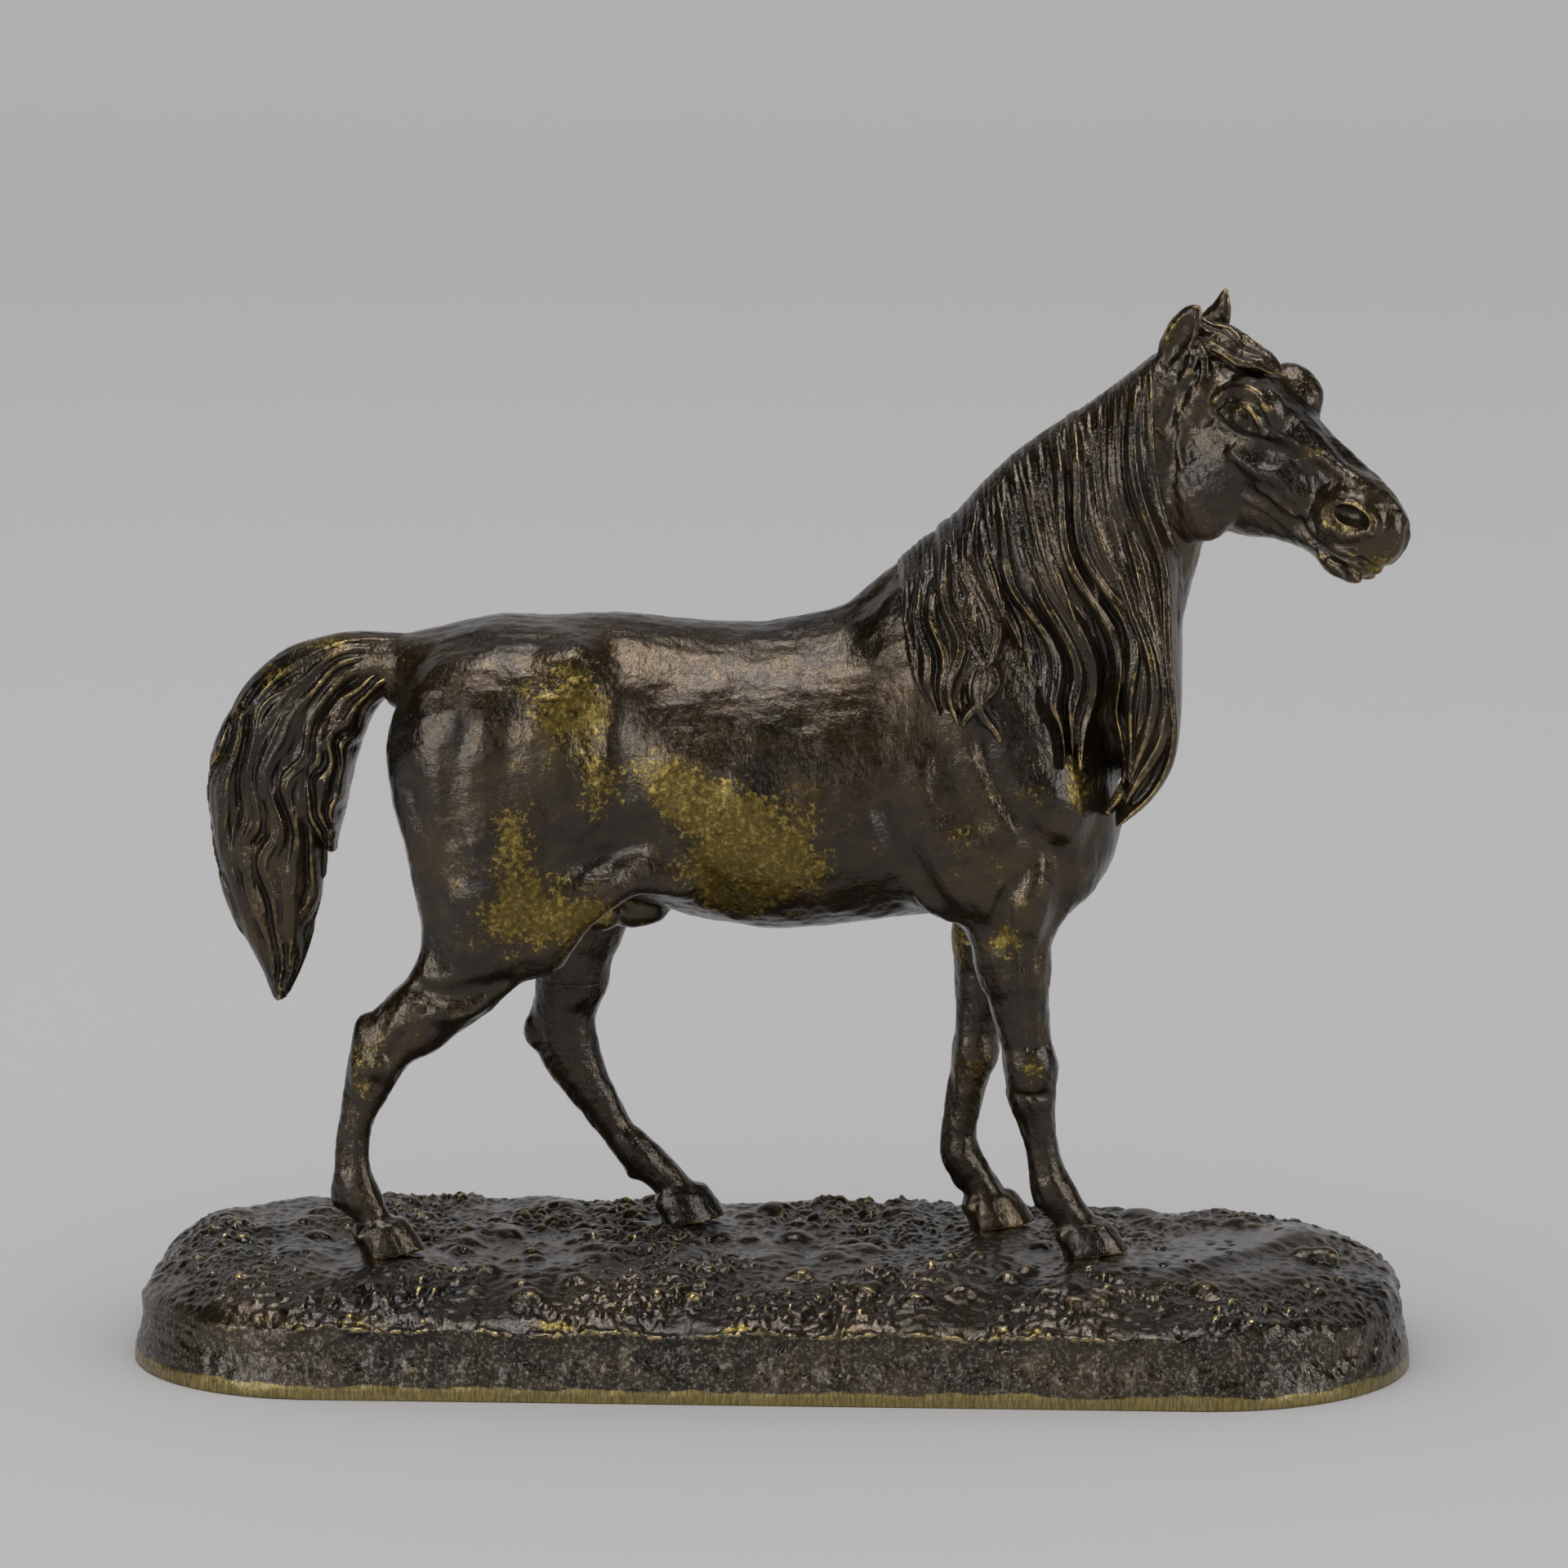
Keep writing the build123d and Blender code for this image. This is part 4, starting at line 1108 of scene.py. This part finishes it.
def base(field):
    """The rough ground, the leaning wall, the filed band and the hollow underneath with its bosses."""
    x, y, z = field.grid()

    def plan(inset):
        """Distance to the rounded outline in plan, drawn in by the inset."""
        corner = np.where(x < 0, *BASE_CORNERS)
        qx, qy = np.abs(x) - BASE_HALF[0] + corner, np.abs(y) - BASE_HALF[1] + corner
        outside = np.hypot(np.maximum(qx, 0), np.maximum(qy, 0))
        return outside + np.minimum(np.maximum(qx, qy), 0) - corner + inset

    inland = -plan(0.0)
    rim = RIM + 0.55 * waves(x, y, 24.0, 5)
    lean = 1.5 * np.clip((z - 1.6) / 8.0, 0, 1.3) + 0.35 * np.clip(1 - np.abs(z - 5.2) / 3.0, 0, 1)
    worn = ramp(x, -66, -52) * ramp(x, 52, 44)
    lip = 0.7 * worn * np.exp(-(((z - rim + 0.35) / 0.65) ** 2))
    along = x + 0.7 * y
    wall = plan(0.2) + lean - lip - 0.2 * waves(along, z * 1.6, 8.0, 4) * ramp(z, 2.4, 3.9)
    wall = wall - 0.22 * np.abs(waves(along, z, 2.2, 15, 12)) * ramp(z, 2.0, 3.0)
    slope = 14.0 - 6.0 * ramp(y, -8, 12) + 4.0 * ramp(x, 15, 55)
    rise = ramp(inland, 1.6, 1.6 + slope)
    level = rim + (GROUND - RIM) * np.sin(rise * math.pi / 2) ** 0.8
    level = level - 0.55 * waves(x, y, 24.0, 5) * rise + bank(x, y)
    calm = 1.0
    for hx, hy in STUDS:
        calm = calm * (1 - np.exp(-(((x - hx - 0.8) ** 2 + (y - hy) ** 2) / 34.0) ** 1.5))
    lumps = 0.5 * np.maximum(waves(x, y, 7.5, 2, 12), -0.2) + 0.9 * np.abs(waves(x, y, 4.2, 3, 14))
    crumbs = 0.55 * np.abs(waves(x, y, 2.3, 6, 16)) + 0.2 * waves(x, y, 1.3, 14, 16)
    patchy = np.clip(0.65 + 0.8 * waves(x, y, 26.0, 13), 0.3, 1) * (1 - 0.8 * np.clip(bank(x, y), 0, 1))
    rough = 0.4 * waves(x, y, 15.0, 1, 8) + patchy * (0.62 * lumps + crumbs) - 0.6
    level = level + rough * calm * (0.6 + 0.4 * rise)
    field.d = rounded(wall, (z - level).astype(np.float32), 1.2).astype(np.float32)
    stones(field)
    pits(field)
    ripple(field, 0.05, 2.6, 31)
    stroke(field, [(68.2, -25.9, 1.6), (68.7, -25.4, 3.6), (69.6, -24.8, 6.0)], 0.22, -0.6)
    band = np.maximum(plan(0.05), z - BAND - 0.3 * waves(x, y, 9.0, 7))
    field.join((slice(None),) * 3, band.astype(np.float32), 0.15)
    field.d = np.maximum(field.d, -z)
    vault = 3.5 + 0.25 * z + 6.0 * ramp(z, 6.5, CEILING) ** 2
    hollow = np.maximum(plan(0.0) + vault, z - CEILING - 0.25 * waves(x, y, 8.0, 8))
    field.carve((slice(None),) * 3, hollow.astype(np.float32), 0.8)
    for cx, cy in STUDS:
        away = np.hypot(x - cx, y - cy)
        boss = np.maximum(away - BOSS_RADIUS, np.maximum(7.8 - z, z - 11.5))
        field.join((slice(None),) * 3, boss.astype(np.float32), 0.5)
        field.d = np.maximum(field.d, (HOLE_RADIUS - away).astype(np.float32))


# Flat stones in the ground: x, y, length, width, turn, height
STONES = [
    (-0.6, 16, 5.6, 4.2, 0.2, 1),
    (11.6, -5, 4.6, 4, -0.2, 0.8),
    (-28, 16, 6, 5, 0.5, 0.9),
    (-16, 20, 5, 4, -0.4, 0.9),
    (46, 16, 6, 4, 0.1, 0.7),
]


def stones(field):
    """Worn flat stones, and many pebbles."""
    for x, y, length, width, turn, height in STONES:
        c, s = math.cos(turn), math.sin(turn)
        axes = np.array([[c, s, 0], [-s, c, 0], [0, 0, 1]])
        mass(field, (x, y, GROUND - 0.7), (length / 2, width / 2, height + 0.6), 0.8, axes)
    scatter = np.random.default_rng(21)
    for _ in range(170):
        x, y = draws(scatter, (-72, 72), (-24, 24))
        if min(math.hypot(x - sx, y - sy) for sx, sy in STUDS) < 6 or abs(x) / 76 + abs(y) / 60 > 1.05:
            continue
        size = scatter.uniform(0.6, 1.6)
        depth = GROUND - 0.7 - 2.2 * max(0.0, 1 - (28 - abs(y)) / 12)
        mass(field, (x, y, depth), (size * 1.3, size, 0.5 + size * 0.5), 0.9)


def pits(field):
    """Small flaws of the casting in the wall and the ground."""
    scatter = np.random.default_rng(9)
    for _ in range(90):
        x, z = draws(scatter, (-52, 52), (3.0, 7.5))
        side = scatter.choice((-1, 1))
        size = scatter.uniform(0.25, 0.5)
        mass(field, (x, side * (30.0 - 0.26 * (z - 2)), z), (size, size, size), 0.3, cut=True)
    for _ in range(120):
        x, y, size = draws(scatter, (-74, 74), (-24, 24), (0.35, 0.7))
        mass(field, (x, y, 14.2), (size, size, size * 1.1), 0.6, cut=True)


# ---------------------------------------------------------------- finishes

# Where handling and light rubbing show the metal through the patina: x, z, reach in x, reach in z, strength
RUBBED = [
    (-24.5, 84, 5, 5, 1),
    (-21, 74, 2.6, 6, 0.6),
    (-12, 75.5, 5, 3.5, 0.6),
    (-7, 72, 7, 4, 0.7),
    (0, 66, 9, 7, 1),
    (-4, 62, 6, 4.5, 0.9),
    (-31, 66, 3, 7, 0.7),
    (-30, 58, 7, 5, 0.8),
    (-23, 57.5, 6, 3, 0.8),
    (24, 68, 5, 5, 0.25),
    (31, 74, 6, 4, 0.35),
    (28, 63, 4, 3, 0.25),
    (29.4, 54.5, 2, 4, 0.8),
    (37.8, 74, 1.6, 3, 0.8),
    (33, 38, 2.4, 3, 0.5),
    (-50, 38, 2.5, 5, 0.5),
    (-56, 89.8, 4.5, 1.4, 0.7),
    (-62.4, 86.4, 3, 1.8, 0.7),
    (-66.6, 81.6, 1.8, 3.4, 0.6),
    (-69.2, 75, 1.4, 4, 0.5),
    (74.6, 102.6, 2.6, 2.2, 0.75),
    (72, 99.8, 2.2, 1.4, 0.55),
    (69.6, 107, 3, 2.4, 0.45),
    (68, 115.6, 2.6, 2.6, 0.3),
    (58.2, 121.2, 3, 2, 0.5),
    (48.8, 130, 1.2, 4, 0.6),
]


def rubbed(points):
    """How much the patina is rubbed through at each point."""
    x, y, z = points.T
    rim = np.exp(-(((z - RIM) / 0.7) ** 2)) * (np.abs(y) > 24) * (np.abs(x + 6) < 56)
    amount = 0.75 * rim * np.clip(0.35 + 0.6 * waves(x, y, 16.0, 17), 0, 1)
    along, up = x + 7.0 * (y > 0), z + 3.0 * (y > 0)  # shifted on the left, so that the two sides differ
    for middle_x, middle_z, reach_x, reach_z, strength in RUBBED:
        amount += strength * np.exp(-(((along - middle_x) / reach_x) ** 2) - ((up - middle_z) / reach_z) ** 2)
    return np.clip(amount, 0, 1)


class Finish:
    """A material being wired up, with short ways to add the nodes that the finishes share."""

    def __init__(self, name):
        self.material = bpy.data.materials.new(name)
        self.material.use_nodes = True
        self.tree = self.material.node_tree
        self.surface = self.tree.nodes["Principled BSDF"]
        self.place = self.tree.nodes.new("ShaderNodeTexCoord").outputs["Object"]

    def link(self, source, socket):
        """Wires a socket, or sets it if the source is a number or a colour."""
        if isinstance(source, bpy.types.NodeSocket):
            self.tree.links.new(source, socket)
        elif isinstance(source, tuple):
            socket.default_value = (*source, 1)
        else:
            socket.default_value = source

    def noise(self, per_mm, detail=3.0, rough=0.55, stretch=None):
        """Noise with the given number of features to the millimetre."""
        node = self.tree.nodes.new("ShaderNodeTexNoise")
        node.inputs["Scale"].default_value = per_mm * 1000
        node.inputs["Detail"].default_value = detail
        node.inputs["Roughness"].default_value = rough
        where = self.place
        if stretch is not None:
            scale = self.tree.nodes.new("ShaderNodeMapping")
            scale.inputs["Scale"].default_value = stretch[0]
            scale.inputs["Rotation"].default_value = stretch[1]
            self.link(where, scale.inputs["Vector"])
            where = scale.outputs["Vector"]
        self.link(where, node.inputs["Vector"])
        return node.outputs["Fac"]

    def attribute(self, name):
        """A value stored on the mesh."""
        node = self.tree.nodes.new("ShaderNodeAttribute")
        node.attribute_name = name
        return node.outputs["Fac"]

    def maths(self, operation, a, b=0.0):
        """One sum."""
        node = self.tree.nodes.new("ShaderNodeMath")
        node.operation = operation
        self.link(a, node.inputs[0])
        self.link(b, node.inputs[1])
        return node.outputs[0]

    def between(self, value, low, high, to_low=0.0, to_high=1.0):
        """A smooth step from one level to another."""
        node = self.tree.nodes.new("ShaderNodeMapRange")
        node.interpolation_type = "SMOOTHSTEP"
        self.link(value, node.inputs["Value"])
        for socket, number in zip(("From Min", "From Max", "To Min", "To Max"), (low, high, to_low, to_high)):
            node.inputs[socket].default_value = number
        return node.outputs["Result"]

    def blend(self, share, a, b):
        """A mix of two colours."""
        node = self.tree.nodes.new("ShaderNodeMix")
        node.data_type = "RGBA"
        self.link(share, node.inputs["Factor"])
        self.link(a, node.inputs["A"])
        self.link(b, node.inputs["B"])
        return node.outputs["Result"]

    def bump(self, height, distance_mm, under=None):
        """Fine relief that is too small to model."""
        node = self.tree.nodes.new("ShaderNodeBump")
        node.inputs["Distance"].default_value = distance_mm / 1000
        self.link(height, node.inputs["Height"])
        if under is not None:
            self.link(under, node.inputs["Normal"])
        return node.outputs["Normal"]

    def times(self, a, b):
        """A product."""
        return self.maths("MULTIPLY", a, b)

    def add(self, value, other, share=1.0):
        """A value with a share of another one added."""
        return self.maths("ADD", value, self.times(other, share))

    def vary(self, value, noise, amount):
        """A value that wanders up and down with the noise."""
        return self.add(value, self.maths("SUBTRACT", noise, 0.5), amount)


# The dark of the patina, its brown, and the metal where its edges are rubbed
HORSE_COLOURS = ((0.018, 0.013, 0.008), (0.066, 0.041, 0.015), (0.4, 0.285, 0.1))
BASE_COLOURS = ((0.01, 0.007, 0.005), (0.066, 0.045, 0.023), (0.46, 0.34, 0.14))
# Colour of the hollows: partly dirt, partly painted shade
HOLLOW_DIRT_AND_SHADE = (0.012, 0.01, 0.008)
OCHRE = (0.105, 0.07, 0.012)
OLD_GOLD, BRIGHT_GOLD = (0.14, 0.096, 0.014), (0.42, 0.31, 0.07)
SAND = (0.24, 0.21, 0.14)
DULL_BRASS, BRASS = (0.155, 0.116, 0.035), (0.29, 0.222, 0.07)
DARK_STEEL, LIGHT_STEEL = (0.22, 0.20, 0.18), (0.38, 0.36, 0.34)


def patina(name, colours, gloss, grit, coat):
    """Brown patinated bronze, rubbed through in grainy patches and on its high edges, rougher in the hollows
    and darkened there with dirt and painted shade.
    """
    f = Finish(name)
    dark, brown, edge_colour = colours
    broad, middle, grain = f.noise(0.07, 3.0), f.noise(0.36, 4.0), f.noise(1.5, 4.0, 0.68)
    mottle = f.vary(f.vary(broad, middle, 0.5), grain, 0.5)
    colour = f.blend(f.between(mottle, 0.26, 0.76), dark, brown)

    patch = f.between(f.vary(f.attribute("rubbed"), middle, 1.5), 0.1, 1.0)
    golden = f.times(f.between(f.add(grain, patch, 0.3), 0.62, 0.74), f.between(patch, 0.0, 0.4, 0.0, 0.8))
    colour = f.blend(f.times(patch, 0.6), colour, OCHRE)
    colour = f.blend(golden, colour, f.blend(f.between(grain, 0.5, 0.68), OLD_GOLD, BRIGHT_GOLD))

    relief_here = f.attribute("relief")
    edge = f.between(f.vary(f.vary(relief_here, middle, 0.9), grain, 0.8), 0.42, 0.95)
    colour = f.blend(f.times(edge, 0.7), colour, edge_colour)
    # Grooves and hollows darkened: partly dirt, partly painted shade; they are also made rougher
    hollow = f.between(relief_here, -0.12, -0.7)
    colour = f.blend(f.times(hollow, 0.85), colour, HOLLOW_DIRT_AND_SHADE)

    rough = f.add(f.vary(gloss, grain, 0.3), hollow, 0.2)
    rough = f.add(f.add(rough, f.attribute("hair"), -0.06), golden, 0.12)
    f.link(colour, f.surface.inputs["Base Color"])
    f.link(rough, f.surface.inputs["Roughness"])
    f.link(f.times(f.between(patch, 0.0, 0.8, 1.0, 0.3), coat), f.surface.inputs["Coat Weight"])
    f.surface.inputs["Metallic"].default_value = 0.72
    f.surface.inputs["Coat Roughness"].default_value = 0.5 * gloss

    tooling = f.noise(1.3, 3.0, 0.6, ((1.0, 1.0, 0.3), (0.0, 0.7, 0.0)))
    normal = f.bump(grain, grit, f.bump(tooling, 0.1))
    f.link(normal, f.surface.inputs["Normal"])
    f.link(normal, f.surface.inputs["Coat Normal"])
    return f


def base_finish():
    """The same patina, with moulding sand left in the skin of the wall and a bare filed band at the foot."""
    f = patina("base_bronze", BASE_COLOURS, 0.17, 0.1, 0.5)
    facing = f.tree.nodes.new("ShaderNodeSeparateXYZ")
    f.link(f.tree.nodes.new("ShaderNodeNewGeometry").outputs["Normal"], facing.inputs[0])
    sand = f.times(f.between(facing.outputs["Z"], 0.6, 0.2), f.between(f.noise(2.0, 3.0, 0.7), 0.52, 0.62))
    colour = f.blend(f.times(sand, 0.65), f.surface.inputs["Base Color"].links[0].from_socket, SAND)
    rough = f.surface.inputs["Roughness"].links[0].from_socket
    wall = f.between(facing.outputs["Z"], 0.6, 0.2, 0.0, 0.3)
    f.link(f.maths("ADD", rough, wall), f.surface.inputs["Roughness"])
    place = f.tree.nodes.new("ShaderNodeSeparateXYZ")
    f.link(f.place, place.inputs[0])
    band = f.between(f.vary(place.outputs["Z"], f.noise(0.14, 3.0), 0.0022), 0.0018, 0.0015)
    files = f.noise(1.4, 2.0, 0.5, ((2.4, 1.0, 0.4), (0.0, 0.75, 0.0)))
    brass = f.blend(f.between(files, 0.35, 0.65), DULL_BRASS, BRASS)
    f.link(f.blend(band, colour, brass), f.surface.inputs["Base Color"])
    return f


def steel_finish():
    """Dull steel for the studs, washers and nuts."""
    f = Finish("fastener_steel")
    grain = f.noise(1.2, 3.0)
    f.link(f.blend(f.between(grain, 0.4, 0.6), DARK_STEEL, LIGHT_STEEL), f.surface.inputs["Base Color"])
    f.surface.inputs["Metallic"].default_value = 0.95
    f.link(f.between(grain, 0.3, 0.7, 0.35, 0.6), f.surface.inputs["Roughness"])
    f.link(f.bump(grain, 0.05), f.surface.inputs["Normal"])
    return f


HORSE_BRONZE = patina("horse_bronze", HORSE_COLOURS, 0.22, 0.11, 0.55).material
BASE_BRONZE = base_finish().material
STEEL = steel_finish().material

# ---------------------------------------------------------------- the pieces

LEG_JOINTS = {
    "right_hind": ((-44.4, -9.8, 43.6), (-0.71, 0.0, -0.70)),
    "left_hind": ((-25.6, 9.5, 45.0), (-0.04, 0.0, -1.0)),
    "right_fore": ((30.2, -7.2, 51.0), (0.1, 0.0, -1.0)),
    "left_fore": ((26.4, 8.2, 51.0), (-0.1, 0.0, -1.0)),
}
NECK_JOINT = ((33.6, 0.0, 95.2), (0.53, 0.0, 0.85))


def make_body():
    """The trunk casting."""
    field = Field((-56, -19, 37.5), (49, 19, 103), BODY_STEP)
    whole_horse(field)
    keep_side(field, *NECK_JOINT)
    for name, (point, normal) in LEG_JOINTS.items():
        side = (-19, 0) if name.startswith("right") else (0, 19)
        keep_side(field, point, normal, (point[0] - 12, point[0] + 12), side)
    build("body", field, "body_casting", HORSE_BRONZE)


def make_leg(name, stations):
    """One lower leg with its hoof."""
    places = np.array(stations)[:, :3]
    cx, cy, _ = HOOVES[name]
    places = np.vstack([places, (cx + 3, cy, GROUND)])
    field = Field(places.min(0) - (6, 5, 2), places.max(0) + (6, 5, 4), LEG_STEP)
    whole_horse(field)
    point, normal = LEG_JOINTS[name]
    keep_side(field, point, -np.array(normal))
    keep_side(field, (0, 0, GROUND - 0.7), (0, 0, -1))
    build(name + "_leg", field, name + "_leg_casting", HORSE_BRONZE)


def make_head_and_neck():
    """The neck, the head with its ears and forelock, and the mane."""
    field = Field((14, -13, 78), (57, 13, 128), BODY_STEP)
    trunk(field)
    neck(field)
    modelled(field)
    keep_side(field, NECK_JOINT[0], -np.array(NECK_JOINT[1]))
    keep_side(field, (49.0, 0, 118.0), (0.5, -0.3, 0.8))
    build("neck", field, "head_and_neck_casting", HORSE_BRONZE)

    field = Field((42, -24, 96), (80.5, 12, 136), HEAD_STEP)
    neck(field)
    head(field)
    forelock(field)
    for side in (-1, 1):
        ear(field, side)
    modelled(field)
    cord = [(51.6, 124.4), (50.3, 122.0), (49.9, 119.6), (50.6, 117.6), (50.2, 115.4), (50.6, 113.0)]
    stroke(field, [land(field, (x, -14.0, z), (0, 1, 0)) for x, z in cord], 0.5, 0.5)
    keep_side(field, (47.5, 0, 108.0), (-0.75, 0, -0.66))
    build("head", field, "head_and_neck_casting", HORSE_BRONZE)

    field = Field((6, -20, 62), (56, 5, 130), HAIR_STEP)
    mane(field)
    build("mane", field, "head_and_neck_casting", HORSE_BRONZE, hair=1.0)


def make_tail():
    """The tail casting."""
    field = Field((-74, -8, 42), (-42, 8, 93), HAIR_STEP)
    tail(field)
    build("tail", field, "tail_casting", HORSE_BRONZE, hair=1.0)


def make_base():
    """The base casting."""
    field = Field((-81.2, -31.2, -0.9), (81.2, 31.2, 17.5), BASE_STEP)
    base(field)
    build("base", field, "base_casting", BASE_BRONZE)


make_body()
for leg_name, lower_stations in LEGS.items():
    make_leg(leg_name, lower_stations)
make_head_and_neck()
make_tail()
make_base()


def give_finish(names, material):
    """The finish of CAD nodes that keep their shapes."""
    for name in names:
        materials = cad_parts[name].data.materials
        materials.clear()
        materials.append(material)


give_finish(("hoof_studs", "base_washers", "base_nuts"), STEEL)
give_finish(("neck_joint_pin", "tail_joint_pin", "leg_joint_pins", "core_pin_plugs"), HORSE_BRONZE)

# ---------------------------------------------------------------- floor, light and camera


def make_floor():
    """A pale floor that curves up into a backdrop far behind."""
    mesh = bpy.data.meshes.new("floor")
    profile = [(-3.0, 0.0), (1.5, 0.0)]
    profile += [(1.5 + math.sin(a), 1 - math.cos(a)) for a in np.linspace(0.15, math.pi / 2, 12)]
    profile += [(2.5, 4.0)]
    points = [(x, y, z) for y, z in profile for x in (-4.0, 4.0)]
    faces = [(2 * i, 2 * i + 1, 2 * i + 3, 2 * i + 2) for i in range(len(profile) - 1)]
    mesh.from_pydata(points, [], faces)
    mesh.polygons.foreach_set("use_smooth", [True] * len(faces))
    material = bpy.data.materials.new("floor")
    material.use_nodes = True
    surface = material.node_tree.nodes["Principled BSDF"]
    surface.inputs["Base Color"].default_value = (0.60, 0.597, 0.597, 1)
    surface.inputs["Roughness"].default_value = 0.9
    surface.inputs["Specular IOR Level"].default_value = 0.1
    mesh.materials.append(material)
    floor = bpy.data.objects.new("floor", mesh)
    bpy.context.scene.collection.objects.link(floor)


def make_light(name, place, size, power, lights_floor=False, aim=(0.0, 0.0, 0.06)):
    """One soft panel, width by height. Most shine on the bronze only and leave the floor as it is."""
    lamp = bpy.data.lights.new(name, "AREA")
    lamp.shape = "RECTANGLE"
    lamp.size, lamp.size_y = size
    lamp.energy = power
    light = bpy.data.objects.new(name, lamp)
    light.location = place
    light.visible_diffuse = lights_floor
    light.rotation_mode = "QUATERNION"
    light.rotation_quaternion = (Vector(aim) - Vector(place)).to_track_quat("-Z", "Y")
    bpy.context.scene.collection.objects.link(light)


def make_camera():
    """A long lens, slightly above the back of the horse."""
    aim, distance = Vector((0.0014, 0.0, 0.072)), 0.9
    azimuth, elevation = math.radians(3.0), math.radians(9.8)
    back = Vector((math.sin(azimuth), -math.cos(azimuth), math.tan(elevation))).normalized()
    lens = bpy.data.cameras.new("camera")
    lens.sensor_width = 36.0
    lens.lens = 165.9
    lens.clip_start, lens.clip_end = 0.01, 20.0
    camera = bpy.data.objects.new("camera", lens)
    camera.location = aim + back * distance
    camera.rotation_mode = "QUATERNION"
    camera.rotation_quaternion = (-back).to_track_quat("-Z", "Y")
    bpy.context.scene.collection.objects.link(camera)
    bpy.context.scene.camera = camera


make_floor()
make_light("main", (-0.1, -0.4, 1.05), (0.26, 0.12), 3.4)
make_light("overhead", (-0.1, -0.12, 1.05), (0.2, 0.1), 1.3)
make_light("left", (-0.8, -0.9, 0.4), (0.085, 0.7), 5.7)
make_light("right", (0.95, -0.6, 0.42), (0.075, 0.7), 5.0)
make_light("camera_side", (-0.15, -1.1, 0.32), (0.2, 0.2), 0.7)
make_light("shadow", (-0.1, -0.2, 1.5), (1.2, 1.2), 2.4, lights_floor=True)
make_camera()
world = bpy.data.worlds.new("studio")
world.use_nodes = True
world.node_tree.nodes["Background"].inputs["Color"].default_value = (0.76, 0.755, 0.76, 1)
world.node_tree.nodes["Background"].inputs["Strength"].default_value = 1.08
world.cycles_visibility.glossy = False
bpy.context.scene.world = world
bpy.context.scene.view_settings.view_transform = "Standard"
